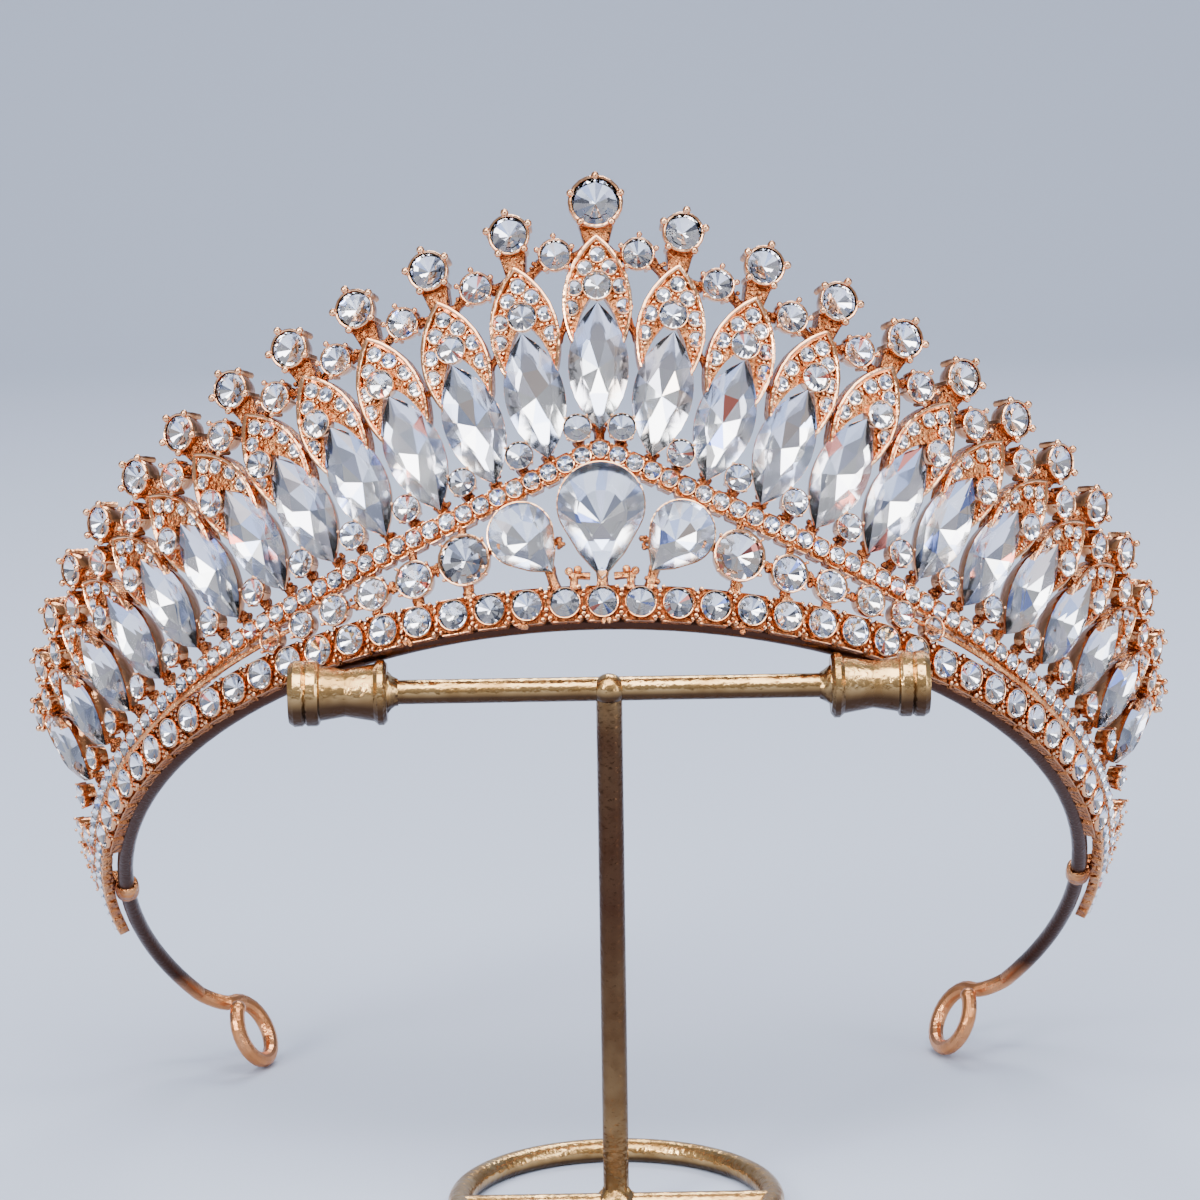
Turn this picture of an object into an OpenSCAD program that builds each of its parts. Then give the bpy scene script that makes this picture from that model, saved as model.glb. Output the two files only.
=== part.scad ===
// Bridal crown of gilt cast metal and cut stones, propped on a plain brass display stand.
// Millimetres. The floor is z = 0, the crown's mirror plane is x = 0 and its front faces -Y.
// The front of the crown is a cone-shaped wall. A place on it is given by an angle about the
// hoop's axis, a height up the wall's slope and a distance outward from the wall.

/* [Crown wall] */
// Radius of the stone line of the lower band
band_r = 63.35; // [55:0.05:75]
// Tilt of the hoop, front raised, as it leans on the stand
hoop_tilt = 43.8; // [0:0.1:60]
// Outward flare of the wall from the hoop's axis
flare = 23.7; // [0:0.1:40]
// Distance of the hoop's centre behind the post
crown_y = 42.65; // [30:0.05:60]
// Height of the hoop's centre above the floor
crown_z = 29.63; // [20:0.01:60]

/* [Band] */
// Large stones on each side of the middle one
band_side = 20; // [4:1:24]
// Spacing of the large band stones
band_pitch = 4.3; // [3.5:0.05:6]
// Diameter of a large band stone
band_d = 3.25; // [2:0.05:4]
// Half height of the band strip
band_half = 1.95; // [1.5:0.05:3]
// Thickness of the band strip
band_thick = 1.9; // [1:0.1:3]
// Half height of the plain strip past the last large stone
end_half = 1.25; // [0.8:0.05:2]
// Thickness of that end strip
end_thick = 1.3; // [0.8:0.1:2]
// Angle at which the end strip stops
band_end = 100.5; // [85:0.5:120]

/* [Chevron row] */
// Height of the chevron row far round the side
chevron_base = 1.48; // [0:0.01:4]
// Rise of the chevron row at the middle
chevron_rise = 16.43; // [5:0.01:30]
// Angle over which the rise falls to 37 per cent
chevron_fall = 26.36; // [10:0.01:60]
// Half height of the chevron strip above its stone line
chevron_top = 1.15; // [0.8:0.05:2]
// Half height of the chevron strip below its stone line, with the rail
chevron_low = 1.3; // [0.8:0.05:2.5]
// Angle at which the chevron strip, by then part of the band, stops
chevron_end = 94; // [60:1:96]

/* [Units] */
// Angle from one unit to the next at the middle
ray_step = 5.74; // [4:0.01:8]
// Growth of that angle towards the sides
ray_growth = 0.00419; // [0:0.0001:0.02]
// Height of a navette's centre above the chevron's stone line
unit_rise = 9.44; // [8:0.01:14]
// Length of a navette
navette_long = 15; // [10:0.5:20]
// Width of a navette
navette_wide = 6.95; // [4:0.05:9]
// Height of a navette above its girdle
navette_crown = 1.5; // [0.8:0.1:2.5]
// Depth of a navette below its girdle
navette_deep = 2.4; // [1:0.1:4]
// Sideways lean that the navettes come to
navette_lean = 18.5; // [0:0.5:30]
// Shrinking of the leaf and tip heights towards the sides
side_shrink = 0.0000663; // [0:0.0000001:0.0002]
// Height of the tip stone above the navette's centre
tip_rise = 19.33; // [15:0.01:25]
// Height of the leaf's round stone above the navette's centre
leaf_rise = 9.31; // [8:0.01:12]
// Height of the stone between two tips
link_rise = 14.93; // [12:0.01:18]
// Drop of the stone between two navette feet
foot_drop = 5.6; // [4:0.05:7]

/* [Stone sizes] */
// Diameter of the middle tip stone
top_d = 5.4; // [4:0.1:7]
// Diameter of the other tip stones
tip_d = 4.1; // [3:0.1:5]
// Diameter of the stones between the tips
link_d = 3.4; // [2:0.1:4]
// Diameter of the leaf's round stone
leaf_d = 3.2; // [2:0.1:4]
// Diameter of the stones between the navette feet
foot_d = 3; // [2:0.05:4]
// Clear space between a stone and its seat
gap = 0.1; // [0.05:0.01:0.3]

/* [Headband] */
// Radius of the wire's circle
wire_hoop_r = 60.1; // [50:0.1:70]
// Radius of the wire
wire_r = 1; // [0.5:0.1:2]
// Height of the wire along the hoop's axis
wire_h = -0.52; // [-3:0.01:3]
// Angle at which the wire leaves its circle for the loop
wire_end = 117; // [115:0.1:118]
// Angle of each loop's centre
loop_angle = 124.1; // [123.6:0.1:125]
// Distance of a loop's centre from the hoop's axis
loop_at_r = 56.5; // [56:0.1:57.5]
// Height of a loop's centre along the hoop's axis
loop_h = -3.8; // [-3.8:0.01:-3]
// Radius of a loop's centre line
loop_r = 4.35; // [3.8:0.05:4.35]
// Lean of a loop's plane from the side of the head
loop_lean = 4; // [0:0.1:10]

/* [Stand] */
// Sideways place of the post
stand_x = 0.6; // [-2:0.1:2]
// Height of the bar's centre line
bar_z = 62.8; // [40:0.1:90]
// Radius of the bar
bar_r = 1.4; // [1:0.1:3]
// Radius of the post
post_r = 1.5; // [1:0.1:3]
// Distance from the post to a spool's inner end
spool_in = 25.3; // [15:0.1:40]
// Radius of the base ring's centre line
ring_r = 18.3; // [12:0.1:40]
// Radius of the ring's wire
ring_wire_r = 1.45; // [1:0.05:3]
// Distance of the ring's centre behind the post
ring_y = 2; // [-5:0.1:5]
// Height of the ring's centre line, under the wire's radius, so that it rests on a narrow flat
ring_z = 1.3; // [1:0.05:3]

/* [Hidden] */
// Navettes on each side of the middle one, as NODES lists them
navette_side = 12;
deg = 180 / PI;
crystal = [0.9, 0.93, 0.97];
gilt = [0.85, 0.6, 0.42];
wire_copper = [0.6, 0.4, 0.28];
stand_brass = [0.75, 0.62, 0.4];
band_step = band_pitch / band_r * deg;
// Table width, crown height and depth of a round stone, as parts of its diameter
round_table = 0.58;
round_crown = 0.17;
round_deep = 0.42;
// Table of a navette, and table, crown height and depth of a pear, as parts of the width
navette_table = 0.52;
pear_table = 0.55;
pear_crown = 0.2;
pear_deep = 0.33;
sides = 8;
curve_fn = 48;
// The wire's place seen from the wall: height up the slope and distance outward
wire_s = (wire_hoop_r - band_r) * sin(flare) + wire_h * cos(flare);
wire_out = (wire_hoop_r - band_r) * cos(flare) - wire_h * sin(flare);
// The unit plates' back and front, measured outward from the girdles
plate_back = -2.8;
plate_front = -0.95;
// Height and back of the flange behind the foot stones, and its front
flange = 2;
flange_back = 1.9;
flange_front = 1.2;
// Seat under a navette: half width and shoulder height as parts of the stone, and reach past its ends
seat_half = 0.42;
seat_shoulder = 0.28;
seat_over = 2.2;
// Leaf plate: half widths at its shoulders and its foot, and their drop below the leaf's middle
leaf_half = 3.9;
leaf_drop = 0.6;
leaf_foot_half = 2.8;
leaf_foot_drop = 4.4;
// Arms from the neck to the cups beside it: height, reach, root and depth, and the neck's half width
arm_rise = 14.5;
arm_reach = 3.5;
arm_root = 1.6;
arm_deep = 1.1;
neck_half = 0.75;
// Walls of the cups: tip, link, foot, leaf, gallery and end
tip_wall = 0.35;
link_wall = 0.3;
foot_wall = 0.2;
leaf_wall = 0.22;
gallery_wall = 0.35;
end_wall = 0.45;
// Metal left behind a stone's point, and the further depth of a tip cup
cup_floor = 0.45;
tip_deep = 0.9;
// Claw: radius, height over the crown facets, lean, and how far it starts below the girdle
claw_r = 0.4;
claw_over = 0.4;
claw_lean = 8;
claw_root = 1;
// The band's back edges: bevel along the slope, below and above, and outward
back_bevel = 0.95;
back_top = 0.3;
back_rise = 0.9;
// Steps of the chevron strip on each side
chevron_steps = 24;
// Struts from the band to the chevron at the first rounds: start height, play at the top, width,
// back and thickness
post_start = 1.2;
post_play = 1.6;
post_wide = 1.2;
post_back = 1.5;
post_thick = 0.9;
// Back and thickness of the other struts
strut_back = 1.9;
strut_thick = 1.2;
// Loop: first and last turn, sideways offset at its ends, steps, and the pull and steps of the lead to it
loop_first = 50;
loop_last = 372;
loop_side = 1.1;
loop_steps = 24;
lead_pull = 4;
lead_steps = 6;
bar_sides = 12;
// Start of a lead inside the arc: angle, place of its first full section, and thinness; the end bead's size
lead_inside = 0.6;
lead_first = 0.05;
lead_thin = 0.85;
end_bead = 1.06;
// Tab round the wire behind the band's end: angle, width, drop, height, back and thickness, clearance
tab_angle = 89;
tab_wide = 2.6;
tab_drop = 3.2;
tab_tall = 3.3;
tab_back = 4;
tab_thick = 2.9;
tab_clear = 0.2;
// How far the stand's weld beads stand out from the post
weld_out = 0.33;
// Lean of the units: what it comes to, how soon, and what each further unit adds
lean_to = 10.99;
lean_soon = 2.81;
lean_step = 2.14;
// Units over which the navettes come to their own lean
turn_soon = 2;
// Shrinking of the navettes: width by the unit's square, length by its fourth power at the end
width_shrink = 0.0011;
length_shrink = 0.15;
// Sideways and downward shift of the leaf stones away from the middle
leaf_aside = 1.7;
leaf_sink = 1;
// Share of a small stone's diameter that follows its unit's size
tip_share = 0.5;
link_share = 0.4;
foot_share = 0.3;
// How much closer the middle two foot stones stand
foot_closer = 0.6;
// The leaf stones stand this far forward, clear of the plates
leaf_out = 0.5;
// The foot stones stand this far forward, in front of the navettes' edges
foot_out = 0.3;
// Units on each side whose leaf carries a round stone
leaf_side = 9;

// Gallery rounds on each side: angle, height up the wall, diameter
gallery = [
    [13.8, 6.1, 5.6],
    [19.15, 4.9, 4.0],
    [23.8, 4.45, 3.5],
    [28.4, 3.95, 3.3],
    [32.4, 3.6, 2.8],
    [36.5, 3.3, 2.5]];
// Small end cups past the last navette: angle, height up the wall, diameter
end_cups = [
    [84.2, 4.0, 2.8],
    [88.4, 3.7, 2.6],
    [92.3, 3.4, 2.3],
    [86.4, 6.6, 2.8],
    [90.5, 6.1, 2.4]];
// Pears: angle, height up the wall, lean, width, length
pear_middle_row = [0, 9.35, 0, 9.9, 13.5];
pear_side_row = [7.45, 7.4, 36, 7.4, 9.4];
// Short struts to the pears: angle, height up the wall, length, width
middle_struts = [[0, 1.2, 2.6, 1.6], [0, 15, 3, 1.6]];
side_struts = [[4.8, 1.2, 3.2, 1.4], [10.4, 10, 3, 1.2]];
// Profile of a spool from its inner end outward, one flange, a waist and two rings: radius, distance
spool_rows = [
    [0, 0], [3.3, 0], [3.75, 0.4], [3.75, 1.0], [3.3, 1.5], [2.7, 4.8], [3.15, 7.6], [3.6, 7.8],
    [3.75, 8.1], [3.75, 9.1], [3.5, 9.4], [3.75, 9.7], [3.8, 10.6], [3.4, 11.2], [0, 11.2]];

function bound(x, low, high) = min(max(x, low), high);
function sign_of(x) = x < 0 ? -1 : (x > 0 ? 1 : 0);
function level_off(x) = (1 - exp(-2 * x)) / (1 + exp(-2 * x));
function wall_r(s) = band_r + s * sin(flare);
function ray_angle(k) = ray_step * k + ray_growth * k * k * k;
function chevron_at(phi) = chevron_base + chevron_rise * exp(-abs(phi) / chevron_fall);
function unit_at(k) = chevron_at(ray_angle(k)) + unit_rise;
function unit_lean(k) = lean_to * level_off(k / lean_soon) + lean_step * k;
function navette_turn(k) = navette_lean * level_off(k / turn_soon);
function side_scale(k) = 1 - side_shrink * pow(ray_angle(k), 2);
function navette_w(k) = navette_wide * (1 - width_shrink * k * k);
function navette_l(k) = navette_long * (1 - length_shrink * pow(k / navette_side, 4));
function leaf_shift(k) = sign_of(k) * leaf_aside * bound((abs(k) - 2) / 3, 0, 1)
    * bound((16 - abs(k)) / 9, 0, 1);
function leaf_up(k) = leaf_rise * side_scale(k) - leaf_sink * bound((abs(k) - 3) / 3, 0, 1);
function shrunk(d, k, share) = d * (1 - share + share * side_scale(k));
function tip_size(k) = k == 0 ? top_d : shrunk(tip_d, k, tip_share);
function link_size(k) = shrunk(link_d, k, link_share);
function leaf_size(k) = shrunk(leaf_d, k, tip_share);
function foot_size(k) = shrunk(foot_d, k, foot_share);

// A place on the wall, turned in the wall's plane. Local x runs to the right, y up and z outward.
module on_wall(phi, s, turn = 0, out = 0)
    translate([0, crown_y, crown_z]) rotate([-hoop_tilt, 0, 0]) rotate([0, 0, phi])
    translate([0, -wall_r(s), s * cos(flare)]) rotate([90 + flare, 0, 0]) rotate([0, 0, -turn])
    translate([0, 0, out]) children();

// A place in the leaning frame of unit k, sideways and up from its navette's centre.
module in_unit(k, side, up, turn = 0, out = 0) {
    lean = unit_lean(k);
    s = unit_at(k) - side * sin(lean) + up * cos(lean);
    u = side * cos(lean) + up * sin(lean);
    on_wall(ray_angle(k) + u / wall_r(s) * deg, s, lean + turn, out) children();
}

// A place straight down the fan of navettes from the half-way point of two units. The middle two
// stand closer together, on each side of the middle navette's foot.
module in_fan(k, drop, out = 0) {
    turn = navette_turn(k);
    s = unit_at(k) - drop * cos(turn);
    u = drop * sin(turn) + sign_of(k) * foot_closer * exp(0.5 - abs(k));
    on_wall(ray_angle(k) - u / wall_r(s) * deg, s, turn, out) children();
}

// A point of the wall in the crown's own frame, before the hoop is tilted
function wall_point(phi, s, out) =
    let (r = wall_r(s) + out * cos(flare))
    [r * sin(phi), -r * cos(phi), s * cos(flare) - out * sin(flare)];

// Outlines of the stones, counter-clockwise
function round_outline(d) =
    [for (i = [0:sides - 1]) let (a = (i + 0.5) * 360 / sides) d / 2 * [cos(a), sin(a)]];
function navette_x(y, w, l) =
    let (r = (l * l / 4 + w * w / 4) / w)
    sqrt(max(r * r - y * y, 0)) - (r - w / 2);
function navette_outline(w, l) =
    let (steps = [-1, -0.5, 0, 0.5])
    concat([for (t = steps) [navette_x(t * l / 2, w, l), t * l / 2]],
           [for (t = steps) [-navette_x(t * l / 2, w, l), -t * l / 2]]);
function pear_outline(w, l) =
    let (reach = l - w / 2, first = asin(w / 2 / reach) - 4, count = 9)
    concat([[0, -l / 2]],
           [for (i = [0:count - 1])
                let (a = -first + i * (180 + 2 * first) / (count - 1))
                [w / 2 * cos(a), l / 2 - w / 2 + w / 2 * sin(a)]]);

// A cut stone: flat table, sloping crown facets, pointed back. The girdle is at z = 0.
module cut_stone(outline, table, crown, deep) {
    n = len(outline);
    points = concat([for (p = outline) [p[0] * table, p[1] * table, crown]],
                    [for (p = outline) [p[0], p[1], 0]],
                    [[0, 0, -deep]]);
    faces = concat([[for (i = [0:n - 1]) n - 1 - i]],
                   [for (i = [0:n - 1]) [i, (i + 1) % n, n + (i + 1) % n, n + i]],
                   [for (i = [0:n - 1]) [n + i, n + (i + 1) % n, 2 * n]]);
    polyhedron(points, faces);
}

module round_stone(d) cut_stone(round_outline(d), round_table, d * round_crown, d * round_deep);
module navette_stone(k)
    cut_stone(navette_outline(navette_w(k), navette_l(k)), navette_table, navette_crown, navette_deep);
module pear_stone(row)
    cut_stone(pear_outline(row[3], row[4]), pear_table, row[3] * pear_crown, row[3] * pear_deep);

// The pointed hollow that a stone's back sits in, with the gap all round
module seat_hollow(outline, half_width, deep) {
    n = len(outline);
    f = 1 + gap / sin(atan(deep / half_width)) / half_width;
    over = 0.05;
    g = f + over / deep;
    points = concat([for (p = outline) [p[0] * g, p[1] * g, over]], [[0, 0, -deep * f]]);
    polyhedron(points, concat([[for (i = [0:n - 1]) n - 1 - i]],
                              [for (i = [0:n - 1]) [i, (i + 1) % n, n]]));
}

module round_hollow(d) seat_hollow(round_outline(d), d / 2, d * round_deep);
module navette_hollow(k)
    seat_hollow(navette_outline(navette_w(k), navette_l(k)), navette_w(k) / 2, navette_deep);
module pear_hollow(row) seat_hollow(pear_outline(row[3], row[4]), row[3] / 2, row[3] * pear_deep);

// A round cup with its rim at the girdle
module cup(d, wall, depth = 0)
    let (r = d / 2 + wall, h = max(depth, d * round_deep + cup_floor))
    translate([0, 0, -h]) linear_extrude(h) polygon(round_outline(2 * r));

// A strip along the wall: angles, and for each the profile's points as height and outward distance
module wall_strip(angles, profiles) {
    n = len(angles);
    m = len(profiles[0]);
    points = [for (i = [0:n - 1]) for (q = profiles[i]) wall_point(angles[i], q[0], q[1])];
    walls = [for (i = [0:n - 2]) for (j = [0:m - 1])
        let (a = i * m + j, b = i * m + (j + 1) % m)
        each [[a, a + m, b], [b, a + m, b + m]]];
    caps = [[for (j = [0:m - 1]) j], [for (j = [0:m - 1]) n * m - 1 - j]];
    translate([0, crown_y, crown_z]) rotate([-hoop_tilt, 0, 0])
        polyhedron(points, concat(walls, caps), convexity = 10);
}

// The band's lower back edge is cut off on the slope, clear of the wire
function band_profile(phi) =
    let (t = bound((abs(phi) - (band_side + 0.5) * band_step) / 4, 0, 1),
         a = band_half + t * (end_half - band_half),
         d = band_thick + t * (end_thick - band_thick),
         c = a - back_bevel * (1 - 0.7 * t))
    [[a, 0], [-a, 0], [-a, -d + back_rise], [-c, -d], [a - back_top, -d]];

module band_strip() {
    side = [for (j = [0:band_side]) (j + 0.5) * band_step];
    past = [for (i = [1:4]) side[band_side] + i * (band_end - side[band_side]) / 4];
    right = concat(side, past);
    angles = concat([for (i = [len(right) - 1:-1:0]) -right[i]], right);
    wall_strip(angles, [for (a = angles) band_profile(a)]);
}

// The chevron's back carries a thin flange upward, behind the foot stones
function chevron_profile(phi) =
    let (c = chevron_at(phi), low = max(c - chevron_low, end_half - 0.2), high = c + chevron_top)
    [[high, 0], [low, 0], [low, -flange_back], [high + flange, -flange_back],
     [high + flange, -flange_front], [high, -flange_front]];

module chevron_strip() {
    side = [for (i = [1:chevron_steps]) chevron_end * i / chevron_steps];
    angles = concat([for (i = [chevron_steps - 1:-1:0]) -side[i]], [0], side);
    wall_strip(angles, [for (a = angles) chevron_profile(a)]);
}

// One unit's plate behind the stones: the boat-shaped seat under the navette, the pointed leaf
// above it and the neck to the tip cup, with two short arms to the cups beside it
module unit_plate(k) {
    f = side_scale(k);
    w = navette_w(k) * seat_half;
    reach = navette_l(k) / 2 + seat_over;
    shoulder = navette_l(k) * seat_shoulder;
    turn = unit_lean(k) - navette_turn(k);
    top = tip_rise * f - tip_size(k) / 2 + 0.2;
    arm = arm_rise * f;
    shoulder_up = (leaf_rise - leaf_drop) * f;
    foot_up = (leaf_rise - leaf_foot_drop) * f;
    translate([0, 0, plate_back]) linear_extrude(plate_front - plate_back) {
        polygon([[0, -reach], [w, -shoulder], [w, shoulder], [0, reach], [-w, shoulder], [-w, -shoulder]]);
        rotate(-turn) polygon([
            [neck_half, top], [-neck_half, top], [-arm_reach, arm], [-arm_root, arm - arm_deep],
            [-leaf_half * f, shoulder_up], [-leaf_foot_half * f, foot_up],
            [leaf_foot_half * f, foot_up], [leaf_half * f, shoulder_up],
            [arm_root, arm - arm_deep], [arm_reach, arm]]);
    }
}

// A claw: a thin four-sided post that leans in over the stone
module claw(r, h, turn)
    rotate([0, 0, turn]) translate([r, 0, -claw_root]) rotate([0, -claw_lean, 0])
        cylinder(h = h + claw_root, r = claw_r, $fn = 4);

module tip_setting(k) {
    d = tip_size(k);
    cup(d, tip_wall, d * round_deep + tip_deep);
    for (i = k == 0 ? [0:4] : [0:0])
        claw(d / 2 + tip_wall + 0.1, d * round_crown + claw_over, 90 + i * 72);
}

module gallery_place(row, side) on_wall(side * row[0], row[1]) children();
module pear_place(row, side) on_wall(side * row[0], row[1], side * row[2]) children();

// A flat strut up the wall, behind the stones
module strut(phi, s, length, width, back, thick)
    on_wall(phi, s) translate([-width / 2, 0, -back]) cube([width, length, thick]);

module pear_seat(row) {
    w = row[3];
    translate([0, 0, -w * pear_deep - cup_floor]) linear_extrude(w * pear_deep - 0.15)
        polygon([for (p = pear_outline(w, row[4])) p * 0.9]);
}

module gallery_metal() {
    for (side = [-1, 1]) {
        for (row = gallery) gallery_place(row, side) cup(row[2], gallery_wall);
        for (i = [0:2]) let (phi = gallery[i][0])
            strut(side * phi, post_start, chevron_at(phi) - post_play, post_wide, post_back, post_thick);
        for (row = side_struts) strut(side * row[0], row[1], row[2], row[3], strut_back, strut_thick);
        pear_place(pear_side_row, side) pear_seat(pear_side_row);
    }
    pear_place(pear_middle_row, 1) pear_seat(pear_middle_row);
    for (row = middle_struts) strut(row[0], row[1], row[2], row[3], strut_back, strut_thick);
}

// A tab of the casting that wraps the wire behind the band's end
module wire_tab(side)
    on_wall(side * tab_angle, 0) difference() {
        translate([-tab_wide / 2, -tab_drop, -tab_back]) cube([tab_wide, tab_tall, tab_thick]);
        translate([0, wire_s, wire_out]) rotate([0, 90, 0])
            cylinder(h = 2 * tab_wide, r = wire_r + tab_clear, center = true, $fn = 12);
    }

module cast_solid() {
    band_strip();
    chevron_strip();
    gallery_metal();
    for (k = [-navette_side:navette_side]) {
        on_wall(ray_angle(k), unit_at(k), navette_turn(k)) unit_plate(k);
        in_unit(k, 0, tip_rise * side_scale(k)) tip_setting(k);
    }
    for (k = [-navette_side + 0.5:navette_side - 0.5])
        in_unit(k, 0, link_rise * side_scale(k)) cup(link_size(k), link_wall);
    for (k = [-navette_side - 0.5:navette_side + 0.5])
        in_fan(k, foot_drop, foot_out) cup(foot_size(k), foot_wall);
    for (k = [-leaf_side:leaf_side])
        in_unit(k, leaf_shift(k), leaf_up(k), 0, leaf_out) cup(leaf_size(k), leaf_wall);
    for (side = [-1, 1]) {
        for (row = end_cups)
            on_wall(side * row[0], row[1]) cup(row[2], end_wall);
        wire_tab(side);
    }
}

module all_hollows() {
    for (k = [-navette_side:navette_side]) {
        on_wall(ray_angle(k), unit_at(k), navette_turn(k)) navette_hollow(k);
        in_unit(k, 0, tip_rise * side_scale(k)) round_hollow(tip_size(k));
    }
    for (k = [-navette_side + 0.5:navette_side - 0.5])
        in_unit(k, 0, link_rise * side_scale(k)) round_hollow(link_size(k));
    for (k = [-navette_side - 0.5:navette_side + 0.5])
        in_fan(k, foot_drop, foot_out) round_hollow(foot_size(k));
    for (k = [-leaf_side:leaf_side])
        in_unit(k, leaf_shift(k), leaf_up(k), 0, leaf_out) round_hollow(leaf_size(k));
    for (k = [-band_side:band_side]) on_wall(k * band_step, 0) round_hollow(band_d);
    for (side = [-1, 1]) {
        for (row = gallery) gallery_place(row, side) round_hollow(row[2]);
        for (row = end_cups) on_wall(side * row[0], row[1]) round_hollow(row[2]);
        pear_place(pear_side_row, side) pear_hollow(pear_side_row);
    }
    pear_place(pear_middle_row, 1) pear_hollow(pear_middle_row);
}

module casting() color(gilt) union() difference() {
    cast_solid();
    all_hollows();
}

module navette(k) color(crystal) on_wall(ray_angle(k), unit_at(k), navette_turn(k)) navette_stone(k);
module pear_middle() color(crystal) pear_place(pear_middle_row, 1) pear_stone(pear_middle_row);
module pear_side(side) color(crystal) pear_place(pear_side_row, side) pear_stone(pear_side_row);
module big_round(side) color(crystal) gallery_place(gallery[0], side) round_stone(gallery[0][2]);
module gallery_stones() color(crystal) {
    for (side = [-1, 1]) {
        for (i = [1:len(gallery) - 1]) gallery_place(gallery[i], side) round_stone(gallery[i][2]);
        for (row = end_cups) on_wall(side * row[0], row[1]) round_stone(row[2]);
    }
}
module tip_stones() color(crystal)
    for (k = [-navette_side:navette_side])
        in_unit(k, 0, tip_rise * side_scale(k)) round_stone(tip_size(k));
module link_stones() color(crystal)
    for (k = [-navette_side + 0.5:navette_side - 0.5])
        in_unit(k, 0, link_rise * side_scale(k)) round_stone(link_size(k));
module leaf_stones() color(crystal)
    for (k = [-leaf_side:leaf_side])
        in_unit(k, leaf_shift(k), leaf_up(k), 0, leaf_out) round_stone(leaf_size(k));
module foot_stones() color(crystal)
    for (k = [-navette_side - 0.5:navette_side + 0.5])
        in_fan(k, foot_drop, foot_out) round_stone(foot_size(k));
module band_stones() color(crystal)
    for (k = [-band_side:band_side]) on_wall(k * band_step, 0) round_stone(band_d);

// A point in the right loop's own frame: along the wire, up across the loop and out from the head
function loop_point(along, up, out) =
    let (e = [sin(loop_angle), -cos(loop_angle), 0], t = [cos(loop_angle), sin(loop_angle), 0],
         n = [e[0] * cos(loop_lean), e[1] * cos(loop_lean), -sin(loop_lean)],
         u = [e[0] * sin(loop_lean), e[1] * sin(loop_lean), cos(loop_lean)])
    loop_at_r * e + [0, 0, loop_h] + along * t + up * u + out * n;
// The loop turns over its top and back to where it began, and moves in by more than the wire's diameter
function loop_at(turn) =
    let (done = (turn - loop_first) / (loop_last - loop_first))
    loop_point(-loop_r * cos(turn), loop_r * sin(turn), loop_side * (1 - 2 * done));
function wire_at(phi) = [wire_hoop_r * sin(phi), -wire_hoop_r * cos(phi), wire_h];
function unit_of(v) = v / norm(v);
// A cubic curve from the end of the wire's arc to the start of the loop, along both at its ends
function lead_at(t) =
    let (a = wire_at(wire_end), b = loop_at(loop_first),
         leave = lead_pull * unit_of(wire_at(wire_end + 1) - a),
         join = lead_pull * unit_of(loop_at(loop_first + 1) - b))
    (2 * pow(t, 3) - 3 * t * t + 1) * a + (pow(t, 3) - 2 * t * t + t) * leave
    + (3 * t * t - 2 * pow(t, 3)) * b + (pow(t, 3) - t * t) * join;

// A round bar along a path. Its sections are turned to the direction that the bar winds about.
module bent_bar(path, radii, about) {
    n = len(path);
    m = bar_sides;
    points = [for (i = [0:n - 1])
        let (t = unit_of(path[min(i + 1, n - 1)] - path[max(i - 1, 0)]),
             x = unit_of(about - (about * t) * t), y = cross(t, x))
        for (j = [0:m - 1]) path[i] + radii[i] * (cos(j * 360 / m) * x + sin(j * 360 / m) * y)];
    walls = [for (i = [0:n - 2]) for (j = [0:m - 1])
        let (a = i * m + j, b = i * m + (j + 1) % m) [a, a + m, b + m, b]];
    caps = [[for (j = [0:m - 1]) j], [for (j = [0:m - 1]) n * m - 1 - j]];
    polyhedron(points, concat(walls, caps), convexity = 6);
}

// The wire's arc, and at each end a loop that lies nearly flat to the side of the head. The left
// loop is the right one's mirror image. A loop's bar starts inside the arc's end, a little thinner.
module headband() color(wire_copper) translate([0, crown_y, crown_z]) rotate([-hoop_tilt, 0, 0]) {
    translate([0, 0, wire_h]) rotate([0, 0, -90 - wire_end]) rotate_extrude(angle = 2 * wire_end, $fn = 180)
        translate([wire_hoop_r, 0]) circle(r = wire_r, $fn = curve_fn);
    lead = [for (i = [1:lead_steps]) lead_at(i / lead_steps)];
    bend = [for (i = [1:loop_steps]) loop_at(loop_first + i * (loop_last - loop_first) / loop_steps)];
    path = concat([wire_at(wire_end - lead_inside), lead_at(lead_first)], lead, bend);
    radii = concat([wire_r * lead_thin], [for (i = [1:len(path) - 1]) wire_r]);
    for (side = [0, 1]) mirror([side, 0, 0]) {
        bent_bar(path, radii, loop_point(0, 0, 1) - loop_point(0, 0, 0));
        translate(loop_at(loop_last)) sphere(r = wire_r * end_bead, $fn = curve_fn);
    }
}

module spool() rotate_extrude($fn = 64) polygon(spool_rows);
module bar_across(half, z, r)
    translate([-half, 0, z]) rotate([0, 90, 0]) cylinder(h = 2 * half, r = r, $fn = curve_fn);

module stand() color(stand_brass) translate([stand_x, 0, 0]) {
    difference() {
        union() {
            translate([0, ring_y, ring_z]) rotate_extrude($fn = 128)
                translate([ring_r, 0]) circle(r = ring_wire_r, $fn = curve_fn);
            bar_across(ring_r, ring_z, ring_wire_r - 0.05);
            translate([0, 0, ring_z]) cylinder(h = bar_z - ring_z, r = post_r, $fn = curve_fn);
            bar_across(spool_in + 1, bar_z, bar_r);
            translate([0, -weld_out, bar_z]) sphere(r = post_r + weld_out, $fn = curve_fn);
            translate([0, 0, ring_z + weld_out]) sphere(r = post_r + 1.5 * weld_out, $fn = curve_fn);
            for (side = [-1, 1])
                translate([side * spool_in, 0, bar_z]) rotate([0, side * 90, 0]) spool();
        }
        translate([-ring_r * 2, -ring_r * 2, -5]) cube([ring_r * 4, ring_r * 4, 5]);
    }
}

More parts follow.
